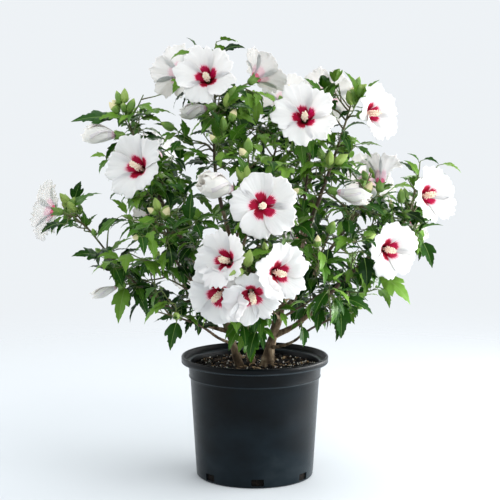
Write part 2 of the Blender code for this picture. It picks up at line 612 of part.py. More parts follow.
def joined(name, pieces):
    """One closed object from overlapping meshes."""
    base = mesh_object(name, pieces[0])
    group = bpy.data.collections.new(name + "_pieces")
    for mesh in pieces[1:]:
        mesh_object(name + "_piece", mesh, group)
    union = base.modifiers.new("join", "BOOLEAN")
    union.operation, union.operand_type, union.collection = "UNION", "COLLECTION", group
    union.solver = "EXACT"
    union.material_mode = "TRANSFER"
    apply_modifiers(base)
    for piece in list(group.objects):
        bpy.data.objects.remove(piece)
    bpy.data.collections.remove(group)
    keep_main_body(base)
    return base


def settle(made, origin):
    """Moves an object's origin to a point of the plant and hangs the object on the whole."""
    made.data.transform(Matrix.Translation(-origin))
    made.location = origin
    made.parent = bpy.data.objects[WHOLE]


def cut_away(made, mesh):
    """Takes a cutter's shape out of an object for good."""
    cutter = mesh_object("cutter", mesh)
    cut = made.modifiers.new("cut", "BOOLEAN")
    cut.operation, cut.object, cut.solver = "DIFFERENCE", cutter, "EXACT"
    apply_modifiers(made)
    bpy.data.objects.remove(cutter)


# ---- pot and potting mix
def wall_radius(height):
    """Outer radius of the pot's plain wall, which widens towards the collar."""
    top = RIM_RADIUS - LIP_OVERHANG - COLLAR_STEP
    return FOOT_RADIUS + (top - FOOT_RADIUS) * height / (POT_HEIGHT - LIP_DEPTH)


def drain_cutter():
    """Boxes through the foot of the wall, just above the floor."""
    corners, faces = [], []
    for k in range(DRAIN_HOLES):
        turn = Matrix.Rotation(math.tau * k / DRAIN_HOLES + DRAIN_TURN - math.pi / 2, 3, "Z")
        first = len(corners)
        for z in (DRAIN_LOW, DRAIN_HIGH):
            for x, side in ((-1, -1), (1, -1), (1, 1), (-1, 1)):
                corners.append(turn @ Vector((FOOT_RADIUS + x * 0.012, side * DRAIN_WIDTH / 2, z)))
        box = ((0, 3, 2, 1), (4, 5, 6, 7), (0, 1, 5, 4), (1, 2, 6, 5), (2, 3, 7, 6), (3, 0, 4, 7))
        faces += [tuple(first + i for i in face) for face in box]
    return plain(corners, faces, POT)


def build_pot():
    step_z, lip_z = POT_HEIGHT - COLLAR_DEPTH, POT_HEIGHT - LIP_DEPTH
    profile = [(0, 0), (FOOT_RADIUS - 0.003, 0), (FOOT_RADIUS, 0.003), (wall_radius(step_z - 0.002), step_z - 0.002)]
    profile += [(wall_radius(step_z) + COLLAR_STEP, step_z), (wall_radius(lip_z) + COLLAR_STEP, lip_z)]
    profile += [(RIM_RADIUS - 0.001, lip_z + 0.0005), (RIM_RADIUS, lip_z + 0.004), (RIM_RADIUS - 0.001, POT_HEIGHT - 0.003)]
    profile += [(RIM_RADIUS - 0.004, POT_HEIGHT), (RIM_RADIUS - 0.010, POT_HEIGHT - 0.0005)]
    profile += [(wall_radius(lip_z) - WALL, lip_z), (FOOT_RADIUS - WALL, WALL), (0, WALL)]
    pot = mesh_object("pot", lathe(profile, POT_SIDES, POT))
    cut_away(pot, drain_cutter())
    set_smooth(pot, 25)
    settle(pot, Vector((0, 0, 0)))


def build_potting_mix():
    low = WALL + CLEAR
    foot = FOOT_RADIUS - WALL
    slope = (wall_radius(POT_HEIGHT - LIP_DEPTH) - WALL - foot) / (POT_HEIGHT - LIP_DEPTH - WALL)
    profile = [(0, low), (foot - CLEAR * 1.2, low), (foot + slope * (SOIL_TOP - WALL) - CLEAR * 1.2, SOIL_TOP)]
    mix = mesh_object("potting_mix", lathe([*profile, (0, SOIL_TOP)], POT_SIDES, MIX))
    set_smooth(mix)
    settle(mix, Vector((0, 0, low)))


# ---- plant
def build_limbs(limbs):
    """Stems stand level on the potting mix. A bough's root is hollowed to its parent's round, a hair clear.

    The return value is a search tree of each limb, for what grows near it.
    """
    trees = []
    for limb in LIMBS:
        points, radii = limbs[limb.name]
        sides = STEM_SIDES if limb.parent is None else BOUGH_SIDES
        made = mesh_object(limb.name, tube(points, radii, sides, flat_foot=limb.parent is None))
        if limb.parent:
            parent_points, parent_radii = limbs[limb.parent]
            cut_away(made, tube(parent_points, [r + CLEAR * 1.3 for r in parent_radii], STEM_SIDES))
            keep_main_body(made)
        set_smooth(made)
        trees.append(tree_of(mesh_of(made)))
        settle(made, points[0])
    return trees


def build_masses(limbs, limb_trees):
    growth = Growth(limbs, limb_trees)
    for number, mass in enumerate(MASSES):
        made = joined(mass.name, growth.grow(mass, number))
        settle(made, growth.spines[mass.name][0].points[0])


def main():
    for old in list(bpy.data.objects):
        bpy.data.objects.remove(old)
    bpy.context.scene.collection.objects.link(bpy.data.objects.new(WHOLE, None))
    build_pot()
    build_potting_mix()
    limbs = limb_lines()
    build_masses(limbs, build_limbs(limbs))


main()
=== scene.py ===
"""The finished looks of a potted rose of sharon, built round its CAD frame.

Every shoot grows on from its bough's tip by the same seeded rule as the frame's shoots, carried to finer
twigs, and bears lobed leaves, ruffled blooms and buds in its own ground. Stems, boughs, pot and potting mix
get their relief here. Metres, +Z up, with the origin in the middle of the pot's flat underside.
"""

import json
import math
import random
from collections import namedtuple

import bpy
import numpy as np
from mathutils import Matrix, Vector, noise
from mathutils.bvhtree import BVHTree

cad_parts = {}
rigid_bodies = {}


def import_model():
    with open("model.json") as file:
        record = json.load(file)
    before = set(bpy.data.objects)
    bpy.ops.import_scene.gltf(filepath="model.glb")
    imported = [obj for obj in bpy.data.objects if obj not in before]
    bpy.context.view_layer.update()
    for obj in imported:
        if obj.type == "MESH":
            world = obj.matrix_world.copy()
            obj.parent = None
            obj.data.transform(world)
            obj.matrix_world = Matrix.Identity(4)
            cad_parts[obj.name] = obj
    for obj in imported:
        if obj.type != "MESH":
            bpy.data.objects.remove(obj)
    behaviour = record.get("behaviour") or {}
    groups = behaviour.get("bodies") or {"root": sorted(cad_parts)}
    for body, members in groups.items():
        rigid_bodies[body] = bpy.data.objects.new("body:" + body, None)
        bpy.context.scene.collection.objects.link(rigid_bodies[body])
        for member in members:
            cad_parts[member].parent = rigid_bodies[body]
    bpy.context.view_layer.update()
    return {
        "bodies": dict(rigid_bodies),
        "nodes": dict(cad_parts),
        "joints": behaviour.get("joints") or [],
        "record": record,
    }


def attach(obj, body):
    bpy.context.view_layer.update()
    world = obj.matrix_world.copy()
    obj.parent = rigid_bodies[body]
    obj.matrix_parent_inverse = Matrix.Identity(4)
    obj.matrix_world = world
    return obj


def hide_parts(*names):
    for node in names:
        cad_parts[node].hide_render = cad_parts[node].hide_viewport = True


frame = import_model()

# ---- camera
LENS = 111.5  # mm, on a sensor 36 mm wide
CAMERA_PLACE = (-0.0077, -2.45, 0.67)
CAMERA_PITCH = math.radians(7.1)  # below the horizon

# ---- pot and potting mix
RIM_RADIUS = 0.118  # over the rolled lip
POT_HEIGHT = 0.195
FOOT_RADIUS = 0.094
WALL = 0.0022
LIP_DEPTH = 0.011
LIP_OVERHANG = 0.0115  # from the outside of the lip in to the collar below it
COLLAR_DEPTH = 0.034  # from the top of the lip down to the step in the wall
COLLAR_STEP = 0.0014
DRAIN_HOLES = 7
DRAIN_TURN = math.radians(2.6)
DRAIN_WIDTH = 0.020
DRAIN_LOW, DRAIN_HIGH = 0.0035, 0.0150
POT_SIDES = 168
SOIL_TOP = POT_HEIGHT - 0.017
CLEAR = 0.0003

# ---- plant, as in the frame
ROOT_FLARE, FLARE_HEIGHT = 0.30, 0.012
TWIG_RADIUS, TWIG_TIP_RADIUS, TWIG_LENGTH = 0.0015, 0.0009, 0.078
LEAF_LENGTH, LEAF_WIDTH, LEAF_WIDEST = 0.063, 0.62, 0.42
LEAF_STEP = 0.0255
LEAF_TRIES, TWIG_TRIES, SPUR_TRIES = 7, 6, 3
GOLDEN_ANGLE = math.radians(137.5)
PEDICEL, CALYX_LENGTH = 0.0125, 0.015
BUD_LENGTH, BUD_RADIUS, BUD_STEP = 0.023, 0.0062, 0.007
SKIRT_HEIGHT, SKIRT_RISE = 0.190, 0.62
MARGIN = 0.0035
SEED = 7


def metres(given):
    """A length, or a nest of them, from the millimetres that the tables below are written in."""
    return tuple(metres(part) for part in given) if isinstance(given, tuple) else given / 1000


Limb = namedtuple("Limb", "name parent share foot tip bow root_radius tip_radius")
STEMS = (  # name, foot where it leaves the potting mix, tip, bow and the radii at both ends
    ("stem_left", (-24, -6), (-112, -16, 378), (12, 0, 12), 6.6, 3.6),
    ("stem_centre", (-6, 20), (-52, 14, 430), (10, 16, 0), 6.2, 3.2),
    ("stem_right", (18, -2), (84, 0, 398), (-6, 4, 10), 9.2, 3.6),
)
BOUGHS = (  # name, parent, the share of the parent's length where it leaves, tip, bow and radii
    ("far_left", "stem_left", 0.26, (-118, -26, 266), (0, 0, -6), 3.6, 2.6),
    ("low_left", "stem_left", 0.17, (-70, -66, 244), (0, -10, -4), 3.0, 2.2),
    ("mid_left", "stem_left", 0.50, (-106, -66, 334), (0, -10, -4), 3.2, 2.4),
    ("far_right", "stem_right", 0.20, (106, -20, 284), (10, 0, -8), 5.2, 3.4),
    ("low_right", "stem_right", 0.12, (72, -64, 238), (10, -10, -4), 3.0, 2.2),
    ("mid_right", "stem_right", 0.58, (118, -24, 368), (10, 0, -8), 3.4, 2.6),
    ("inner_right", "stem_right", 0.40, (82, -50, 322), (6, -10, -8), 3.0, 2.2),
    ("front", "stem_right", 0.33, (14, -100, 300), (4, -12, -8), 3.6, 2.8),
    ("high_front", "stem_centre", 0.62, (-14, -60, 396), (0, -12, -8), 3.4, 2.6),
    ("high_right", "stem_right", 0.72, (74, -38, 408), (4, -10, -8), 3.2, 2.6),
    ("back_left", "stem_left", 0.42, (-104, 70, 330), (-4, 12, -10), 3.6, 2.6),
    ("back_right", "stem_right", 0.45, (106, 78, 330), (6, 12, -10), 3.8, 2.8),
    ("back", "stem_centre", 0.34, (2, 104, 308), (0, 10, -10), 3.6, 2.8),
    ("basal", "stem_centre", 0.12, (-8, -18, 232), (0, -6, -4), 2.6, 2.0),
    ("low_back_left", "stem_centre", 0.16, (-60, 80, 250), (0, 8, -6), 3.0, 2.2),
    ("low_back_right", "stem_centre", 0.21, (62, 80, 252), (6, 8, -6), 3.0, 2.2),
    ("high_back", "stem_centre", 0.78, (4, 64, 432), (0, 10, -8), 3.0, 2.4),
)
LIMBS = [Limb(name, None, 0, *map(metres, sizes)) for name, *sizes in STEMS]
for bough, parent, share, *sizes in BOUGHS:
    LIMBS.append(Limb("bough_" + bough, parent, share, None, *map(metres, sizes)))

Mass = namedtuple("Mass", "name limb tip bow twigs buds")
# Each shoot carries on from its limb's tip. bow is how far its bend stands off the straight line.
ON_STEMS = {"upper_left": "stem_left", "top": "stem_centre", "upper_right": "stem_right"}
MASSES = [
    Mass("foliage_" + name, ON_STEMS.get(name, "bough_" + name), metres(tip), metres(bow), twigs, buds)
    for name, tip, bow, twigs, buds in (
        ("upper_left", (-208, -24, 596), (-4, 0, -6), 7, 4),
        ("far_left", (-290, -30, 438), (-10, 0, -26), 7, 4),
        ("low_left", (-150, -104, 282), (0, 0, 10), 4, 0),
        ("mid_left", (-146, -112, 438), (-12, -6, -4), 6, 3),
        ("top", (-62, 12, 654), (-10, -4, 0), 7, 2),
        ("high_front", (-10, -110, 524), (0, -22, -10), 5, 2),
        ("basal", (-14, -66, 292), (0, -10, 6), 4, 0),
        ("front", (-10, -176, 366), (0, -10, -20), 4, 3),
        ("high_right", (90, -50, 566), (0, -20, -10), 6, 3),
        ("upper_right", (158, 0, 618), (10, 0, 0), 6, 4),
        ("mid_right", (170, -38, 452), (14, -10, -10), 5, 2),
        ("inner_right", (112, -116, 404), (0, -10, -10), 4, 1),
        ("far_right", (270, -22, 458), (30, 0, -34), 7, 2),
        ("low_right", (146, -108, 282), (0, 0, 10), 4, 0),
        ("back_left", (-176, 170, 500), (-30, 20, -30), 7, 3),
        ("back_right", (196, 164, 474), (30, 20, -30), 7, 3),
        ("back", (-6, 226, 420), (0, 30, -30), 6, 3),
        ("low_back_left", (-164, 156, 306), (0, 0, 10), 5, 0),
        ("low_back_right", (164, 158, 302), (0, 0, 10), 5, 0),
        ("high_back", (52, 106, 604), (-10, 26, -10), 6, 3),
    )
]
FOLIAGE = [mass.name for mass in MASSES]

Bloom = namedtuple("Bloom", "mass throat azimuth elevation radius length shape")
# Azimuth 0 faces -Y and 90 faces +X. An open bloom has a length of 0, and a rolled one is a spindle of its
# length. shape is an open bloom's lift in degrees, or a rolled one's mouth as a share of its radius.
BLOOMS = [
    Bloom("foliage_" + mass, metres(throat), azimuth, elevation, metres(radius), metres(length), shape)
    for mass, throat, azimuth, elevation, radius, length, shape in (
        ("top", (-72, -62, 635), -8, 20, 56, 0, 18),
        ("top", (-116, 20, 642), -144, 16, 50, 0, 8),
        ("top", (0, 18, 636), 132, 30, 50, 0, 12),
        ("top", (-74, -34, 592), -98, -12, 13, 44, 0.6),
        ("high_right", (75, -102, 576), -4, 18, 56, 0, 17),
        ("upper_right", (113, 30, 604), 158, 20, 48, 0, 0),
        ("upper_right", (170, -44, 582), 46, 10, 52, 0, 20),
        ("upper_left", (-172, -92, 500), -30, 18, 55, 0, 14),
        ("upper_left", (-216, -44, 550), -95, 4, 16, 50, 0.95),
        ("far_left", (-313, -44, 432), -108, 8, 47, 0, 0),
        ("far_left", (-216, -52, 313), -88, -20, 8.5, 42, 0.8),
        ("high_front", (-34, -140, 474), -66, 14, 21, 54, 0.8),
        ("high_front", (10, -190, 453), 6, 10, 51, 0, 0),
        ("front", (-38, -214, 374), -30, 18, 49, 0, 14),
        ("front", (28, -214, 359), 31, 2, 48, 0, 10),
        ("front", (-50, -206, 328), -26, -14, 48, 0, 0),
        ("front", (-6, -222, 330), 8, -22, 44, 0, 0),
        ("mid_right", (126, -84, 465), 82, -12, 13.5, 52, 0.8),
        ("mid_right", (196, -30, 474), 166, 60, 48, 0, 34),
        ("far_right", (260, -50, 455), 38, 10, 51, 0, 16),
        ("far_right", (199, -84, 377), 30, 2, 50, 0, 14),
        ("back_left", (-170, 214, 494), -150, 10, 49, 0, 0),
        ("back_left", (-168, 165, 402), -126, 2, 45, 0, 0),
        ("back_right", (190, 212, 456), 148, 8, 50, 0, 0),
        ("back_right", (256, 116, 404), 106, 4, 46, 0, 0),
        ("high_back", (50, 158, 592), 172, 16, 50, 0, 0),
        ("back", (2, 258, 412), -172, 4, 48, 0, 0),
        ("back", (78, 235, 350), 150, -4, 46, 0, 0),
        ("low_back_left", (-104, 205, 312), -150, -6, 45, 0, 0),
        ("high_back", (-60, 128, 560), -160, 8, 18, 52, 0.5),
    )
]

# ---- what the front of this very plant shows, in (x, z) as seen from the camera on the plane y = 0
Spray = namedtuple("Spray", "mass end depth leaves buds", defaults=((),))
# A finer twig of a shoot, by where it ends and by the tips of the leaves and buds that it bears.
SPRAYS = [
    Spray("foliage_" + mass, *map(metres, sizes))
    for mass, *sizes in (
        ("top", (-92, 676), -16, ((-110, 702), (-136, 674))),
        ("top", (-56, 672), -16, ((-14, 692), (-62, 694))),
        ("top", (-46, 586), -40, ((-20, 612), (4, 590), (-8, 634)), ((-43, 615), (-66, 606), (-30, 626))),
        ("top", (-50, 546), -60, ((-78, 586), (-20, 545)), ((-50, 578), (-30, 590))),
        ("top", (-118, 552), -40, ((-150, 530), (-162, 560)), ((-149, 568),)),
        ("top", (-126, 546), -56, ((-152, 546), (-104, 562), (-134, 516), (-120, 570))),
        ("top", (-98, 524), -30, ((-147, 512), (-112, 498), (-134, 546), (-78, 494))),
        ("upper_left", (-205, 572), -30, ((-290, 562), (-252, 578), (-160, 572)),
         ((-218, 618), (-205, 622), (-190, 606), (-230, 600), (-211, 606))),
        ("upper_left", (-186, 572), -34, ((-124, 596), (-146, 574))),
        ("upper_left", (-232, 512), -40, ((-262, 512), (-252, 488))),
        ("far_left", (-300, 418), -32, ((-242, 465),), ((-319, 450), (-301, 455), (-286, 450))),
        ("far_left", (-302, 406), -80, ((-344, 386),)),
        ("far_left", (-272, 396), -32, ((-276, 424), (-246, 421))),
        ("far_left", (-238, 350), -30, ((-296, 342), (-208, 328), (-194, 384))),
        ("far_left", (-204, 316), -34, ((-216, 242), (-172, 258))),
        ("mid_left", (-212, 420), -80, ((-252, 382), (-190, 392), (-226, 452))),
        ("mid_left", (-150, 418), -110, ((-190, 382), (-120, 400)), ((-157, 450), (-143, 428))),
        ("mid_left", (-92, 412), -120, ((-56, 388), (-84, 380), (-52, 424), (-96, 462))),
        ("mid_left", (-106, 446), -100, ((-140, 478), (-66, 446), (-90, 484))),
        ("low_left", (-122, 258), -90, ((-133, 200), (-164, 250))),
        ("low_left", (-166, 352), -80, ((-180, 316),)),
        ("low_left", (-94, 262), -80, ((-88, 222), (-110, 228))),
        ("basal", (12, 270), -130, ((-6, 230), (26, 236), (10, 220))),
        ("basal", (-36, 270), -120, ((-48, 238), (-28, 226))),
        ("basal", (-20, 246), -92, ((-36, 198), (-14, 206), (-50, 218))),
        ("basal", (6, 240), -88, ((16, 200), (-8, 182), (34, 220))),
        ("basal", (-12, 238), -60, ((-6, 180), (-24, 196), (8, 204), (-16, 212))),
        ("basal", (-6, 252), -70, ((16, 226), (-32, 228), (2, 216))),
        ("high_front", (-14, 474), -120, ((-24, 520), (12, 498)), ((-12, 496), (-26, 492))),
        ("front", (-14, 336), -232, ((16, 386),), ((-8, 362), (-18, 352))),
        ("front", (-16, 332), -248, ((-2, 318),), ((-28, 328), (-38, 320))),
        ("basal", (40, 268), -110, ((50, 238), (70, 262), (32, 244))),
        ("high_right", (118, 496), -70, ((64, 488), (165, 500), (150, 480)),
         ((96, 530), (148, 518), (120, 524))),
        ("upper_right", (156, 588), -10, ((128, 648), (204, 629), (132, 570)),
         ((146, 618), (167, 628), (157, 622))),
        ("upper_right", (104, 600), -34, ((80, 641), (118, 626))),
        ("upper_right", (158, 532), -30, ((202, 526), (186, 510))),
        ("far_right", (260, 480), -20, ((221, 508), (236, 512))),
        ("far_right", (262, 507), -6, ((294, 501), (240, 520))),
        ("far_right", (290, 500), -6, ((330, 486),)),
        ("far_right", (234, 424), -40, ((272, 398), (210, 440)), ((232, 464), (254, 420))),
        ("far_right", (264, 384), -40, ((283, 334), (278, 410))),
        ("far_right", (184, 326), -60, ((254, 276), (176, 288))),
        ("high_right", (78, 442), -60, ((58, 402), (102, 426), (78, 400))),
        ("inner_right", (82, 384), -100, ((52, 356), (86, 344), (60, 390))),
        ("inner_right", (172, 364), -90, ((180, 304), (200, 334))),
        ("low_right", (134, 290), -100, ((140, 217), (190, 258))),
        ("low_right", (104, 278), -90, ((100, 228),)),
        ("low_right", (74, 250), -80, ((80, 204), (56, 236))),
    )
]

Gap = namedtuple("Gap", "x z wide high depth", defaults=(1,))
# Ellipses with no leaf nearer than depth, where the sky or a bloom shows. wide and high are half their spans.
GAPS = [
    Gap(*metres(sizes))
    for sizes in (
        (-290, 284, 72, 58), (-180, 222, 40, 36), (250, 212, 70, 56), (335, 345, 42, 60),
        (-312, 522, 50, 44), (-190, 668, 55, 36), (46, 676, 40, 46), (205, 684, 70, 44), (276, 576, 50, 44),
        (205, 262, 36, 34), (135, 198, 30, 20), (-20, 654, 28, 26), (-76, 722, 40, 18), (22, 632, 26, 24),
        (-212, 604, 30, 22), (-250, 436, 30, 18), (-262, 614, 26, 26), (-296, 388, 24, 14),
        (-264, 408, 11, 24), (-218, 388, 18, 15), (-176, 364, 26, 10), (-168, 325, 8, 14),
        (-275, 372, 30, 12), (-160, 250, 12, 14), (116, 228, 10, 18), (90, 238, 12, 22), (165, 234, 12, 22),
        (250, 345, 12, 24), (304, 386, 20, 34), (184, 530, 12, 12), (-136, 312, 14, 10), (-109, 240, 9, 13),
        (-72, 229, 12, 10), (-96, 217, 24, 10), (-245, 557, 34, 20), (-238, 300, 26, 14), (-60, 472, 27, 23),
        (-128, 580, 26, 16), (-168, 570, 12, 12), (-138, 530, 10, 12), (-105, 488, 12, 6),
        (-87, 540, 11, 10), (-70, 524, 10, 7), (-192, 431, 20, 8), (-100, 437, 10, 7), (30, 524, 12, 9),
        (146, 584, 10, 18), (168, 556, 14, 14), (196, 494, 30, 22), (154, 456, 32, 13), (142, 488, 11, 6),
        (125, 421, 14, 6), (176, 411, 11, 10), (143, 394, 8, 6), (112, 376, 9, 6), (127, 362, 10, 9),
        (147, 349, 10, 5), (172, 361, 8, 5), (57, 227, 12, 14), (113, 242, 6, 14),
    )
]

# ---- what the frame leaves to this script
LEADER_LEAVES = (0.06, 0.92)  # the shares of a shoot's length that its leaves start and end at
FLOWERING_LEAVES = (0.25, 0.80)
TWIG_LEAVES = (0.28, 0.88)
EXTRA_LEAVES = (0.04, 0.96)
TWIG_END = 0.985  # where the last pair of a side twig's leaves sits
NODE_STEP = 0.0100  # between the extra leaves along a shoot
SPUR_LENGTH = 0.030  # of the finer twigs
SPUR_STEP = 0.028
SPUR_LEAVES = (0.97, 0.85, 0.60, 0.35)  # where a spur's leaves leave it, as shares of its length
SPUR_BUDS = 0.22  # share of the outer spurs that end in a bud
BUD_ROOM = (0.020, 0.016)  # kept free of leaves in front of a spray's buds, to each side and up and down
SPRAY_RISE = 0.030  # a spray leaves its shoot about this far below its end
SPRAY_LEAF_STEP = 0.07  # between its leaves, as a share of its twig
PETIOLE_SHARE = 0.20  # of a leaf's whole length
LEAF_STRETCH = 0.98  # a leaf's length with its stalk, against the frame's plain blade
FUNNEL_WIDTH = 1.06  # of the room that stays free in front of an open bloom, against the bloom's own
FUNNEL_LENGTH = 0.060

# the deeper tints, dealt to leaves low down and inside the crown, are partly painted shade
LEAF_TINTS = {  # base colours, from the crown's inside to its young tips
    "leaf_deep": (0.004, 0.030, 0.001),
    "leaf_dark": (0.016, 0.072, 0.004),
    "leaf_mid": (0.050, 0.142, 0.010),
    "leaf_fresh": (0.115, 0.245, 0.024),
    "leaf_bright": (0.156, 0.300, 0.038),
    "leaf_young": (0.180, 0.330, 0.046),
}
PETAL_TINTS = {
    "petal_heart": (0.150, 0.001, 0.010),
    "petal_crimson": (0.300, 0.001, 0.018),
    "petal_rose": (0.700, 0.110, 0.200),
    "petal_blush": (0.740, 0.470, 0.540),
    "petal_pearl": (0.735, 0.670, 0.680),
    "petal_white": (0.735, 0.718, 0.706),
    # the rolled blooms' cream is their own hue, made brighter than the open petals' white as painted light
    # where they sit in shade
    "petal_cream": (0.890, 0.850, 0.775),
}
BUD_TINTS = {
    "bud_green": (0.130, 0.250, 0.042),
    "bud_light": (0.260, 0.380, 0.080),
    "bud_cream": (0.740, 0.670, 0.390),
}

Shoot = namedtuple("Shoot", "points radii")
Leaf = namedtuple("Leaf", "base along up length")
LeafMark = namedtuple("LeafMark", "leaf tint lobes")
Part = namedtuple("Part", "corners faces")  # (n, 3) corners and (m, k) corner numbers

QUARTERS = ("front_left", "front_right", "back_left", "back_right")  # leaves and petals are one piece in each
QUARTER_DEPTH = -0.03  # y of the line between front and back


def quarter_of(place):
    return QUARTERS[int(place[0] >= 0) + 2 * int(place[1] >= QUARTER_DEPTH)]


# ---- lines and frames
def shares(count):
    """Even steps from 0 to 1."""
    return [i / (count - 1) for i in range(count)]


def bend(start, end, bow, count):
    """Points along one smooth bend from start to end."""
    control = (start + end) / 2 + bow
    return [start * (1 - t) ** 2 + control * (2 * t * (1 - t)) + end * t**2 for t in shares(count)]


def sweep(start, leaving, end, arriving, count):
    """Points along a curve that leaves start and reaches end in given directions."""
    pull = (end - start).length * 0.38
    a, b = start + leaving * pull, end - arriving * pull
    return [
        start * (1 - t) ** 3 + a * (3 * t * (1 - t) ** 2) + b * (3 * t**2 * (1 - t)) + end * t**3
        for t in shares(count)
    ]


def taper(root, tip, count):
    return [root + (tip - root) * i / (count - 1) for i in range(count)]


def finer(values, times):
    """A line of points or radii with smooth steps put in between (Catmull-Rom)."""
    made, last = [], len(values) - 1
    for i in range(last):
        a, b, c, d = values[max(i - 1, 0)], values[i], values[i + 1], values[min(i + 2, last)]
        for t in (k / times for k in range(times)):
            curve = b * 2 + (c - a) * t + (a * 2 - b * 5 + c * 4 - d) * t**2 + (b * 3 - a - c * 3 + d) * t**3
            made.append(curve * 0.5)
    return made + [values[-1]]


def heading(points, index):
    """Direction of a line of points at one of them."""
    before, after = max(index - 1, 0), min(index + 1, len(points) - 1)
    return (points[after] - points[before]).normalized()


def upward(height):
    return Vector((0, 0, height))


def across(direction, hint=Vector((0, 0, 1))):
    """A unit vector square to direction, as near hint as it goes."""
    side = hint - direction * hint.dot(direction)
    if side.length < 0.05:
        return direction.orthogonal().normalized()
    return side.normalized()


def outward(line, turn):
    """A unit vector square to line, at a turn round it."""
    return Matrix.Rotation(turn, 3, line) @ across(line)


def length_of(shoot):
    return sum((b - a).length for a, b in zip(shoot.points, shoot.points[1:]))


def place_on(shoot, share):
    """(point, direction) at a share of a shoot's length."""
    place = share * (len(shoot.points) - 1)
    low = min(int(place), len(shoot.points) - 2)
    return shoot.points[low].lerp(shoot.points[low + 1], place - low), heading(shoot.points, low)


def facing(bloom):
    a, e = math.radians(bloom.azimuth), math.radians(bloom.elevation)
    return Vector((math.sin(a) * math.cos(e), -math.cos(a) * math.cos(e), math.sin(e)))


def seen_at(points):
    """(x, z) where the lines of sight to points of an (n, 3) array cross the plane y = 0."""
    eye = np.array(CAMERA_PLACE)
    sight = points - eye
    return (eye - sight * (eye[1] / sight[:, 1])[:, None])[:, [0, 2]]


def place_seen(seen, depth):
    """The point at a depth y that is seen at (x, z) on the plane y = 0."""
    eye = Vector(CAMERA_PLACE)
    return eye + (Vector((seen[0], 0, seen[1])) - eye) * (1 - depth / eye.y)


# ---- growth: limbs, then the leader, flowering twigs, side twigs, spurs and leaves of each shoot
def limb_lines():
    """{limb name: shoot} of every stem and bough, roots first."""
    lines = {}
    for limb in LIMBS:
        if limb.parent:
            start, count = place_on(lines[limb.parent], limb.share)[0], 5
        else:
            start, count = Vector((*limb.foot, SOIL_TOP + CLEAR)), 9
        points = bend(start, Vector(limb.tip), Vector(limb.bow), count)
        radii = taper(limb.root_radius, limb.tip_radius, count)
        if not limb.parent:
            flare = [1 + ROOT_FLARE * math.exp(-(point - start).length / FLARE_HEIGHT) for point in points]
            radii = [radius * wider for radius, wider in zip(radii, flare)]
        lines[limb.name] = Shoot(points, radii)
    return lines


def leader_of(mass, limbs):
    limb = limbs[mass.limb]
    onward = heading(limb.points, len(limb.points) - 1)
    start, end = limb.points[-1] + onward * CLEAR, Vector(mass.tip)
    arriving = (end - start - Vector(mass.bow)).normalized()
    return Shoot(sweep(start, onward, end, arriving, 6), taper(limb.radii[-1], TWIG_TIP_RADIUS * 1.2, 6))


def flowering_twig(bloom, leader):
    """The twig from the leader to the back of a bloom."""
    face = facing(bloom)
    back = Vector(bloom.throat) - face * PEDICEL
    spring = 0.035
    places = range(1, len(leader.points) - 1)
    root = min(places, key=lambda i: (leader.points[i] + heading(leader.points, i) * spring - back).length)
    start = leader.points[root]
    leaving = (heading(leader.points, root) + (back - start).normalized()).normalized()
    return Shoot(sweep(start, leaving, back, face, 4), taper(TWIG_RADIUS * 1.1, TWIG_RADIUS, 4))


def side_twig(leader, share, turn, length, lift):
    start, line = place_on(leader, share)
    out = outward(line, turn)
    leaving = (out + line * 0.7).normalized()
    end = start + (out * 0.85 + line * 0.45 + upward(0.30)).normalized() * length
    arriving = (out * 0.6 + line * 0.5 + upward(lift)).normalized()
    return Shoot(sweep(start, leaving, end, arriving, 3), taper(TWIG_RADIUS, TWIG_TIP_RADIUS, 3))


def leaf_places(shoot, first, last, rng, step=LEAF_STEP):
    """[(share, turn, size)] of the leaves at even steps between two shares of a shoot's length."""
    count = max(1, round(length_of(shoot) * (last - first) / step))
    turn = rng.uniform(0, math.tau)
    places = [first + (last - first) * (k + 0.5) / count for k in range(count)]
    return [(share, turn + k * GOLDEN_ANGLE, rng.uniform(0.62, 1.08)) for k, share in enumerate(places)]


def leaf_at(base, line, turn, size, rng):
    """A leaf set at a turn round a shoot whose direction is line: it leans out and droops."""
    out = outward(line, turn)
    droop = rng.uniform(0.0, 0.7)
    along = (out + line * rng.uniform(0.25, 0.6) - upward(droop)).normalized()
    up = across(along, upward(1) + out * 0.5 + line * 0.4)
    up = Matrix.Rotation(rng.uniform(-0.4, 0.4), 3, along) @ up
    return Leaf(base, along, up, LEAF_LENGTH * size)


def tint_of(mass, kind, share, rng):
    """Number of a leaf's tint: deeper low down and near the crown's middle, partly as painted shade there,
    younger towards the tips.
    """
    level = 0.5 + 1.5 * share + 0.40 * kind + 3.4 * (mass.tip[2] - 0.42) + rng.gauss(0, 1.0)
    return int(min(max(level, 0), len(LEAF_TINTS) - 1))


def leaf_marks(leaf):
    """Points that stand for a leaf's blade."""
    side = leaf.along.cross(leaf.up) * (leaf.length * LEAF_WIDTH / 2)
    middle = leaf.base + leaf.along * (leaf.length * LEAF_WIDEST)
    tip = leaf.base + leaf.along * leaf.length
    return [middle, middle + side, middle - side, (middle + tip) / 2, tip, (leaf.base + middle) / 2]


def off_pot(points):
    """Whether points are above the potting mix, over the lip, and beyond it above the crown's underside."""
    reach, height = np.hypot(points[:, 0], points[:, 1]), points[:, 2]
    low = np.where(reach < RIM_RADIUS * 0.8, SOIL_TOP, POT_HEIGHT)
    low = np.where(reach > RIM_RADIUS + MARGIN, SKIRT_HEIGHT + SKIRT_RISE * (reach - RIM_RADIUS), low)
    return (height > low + MARGIN).all()


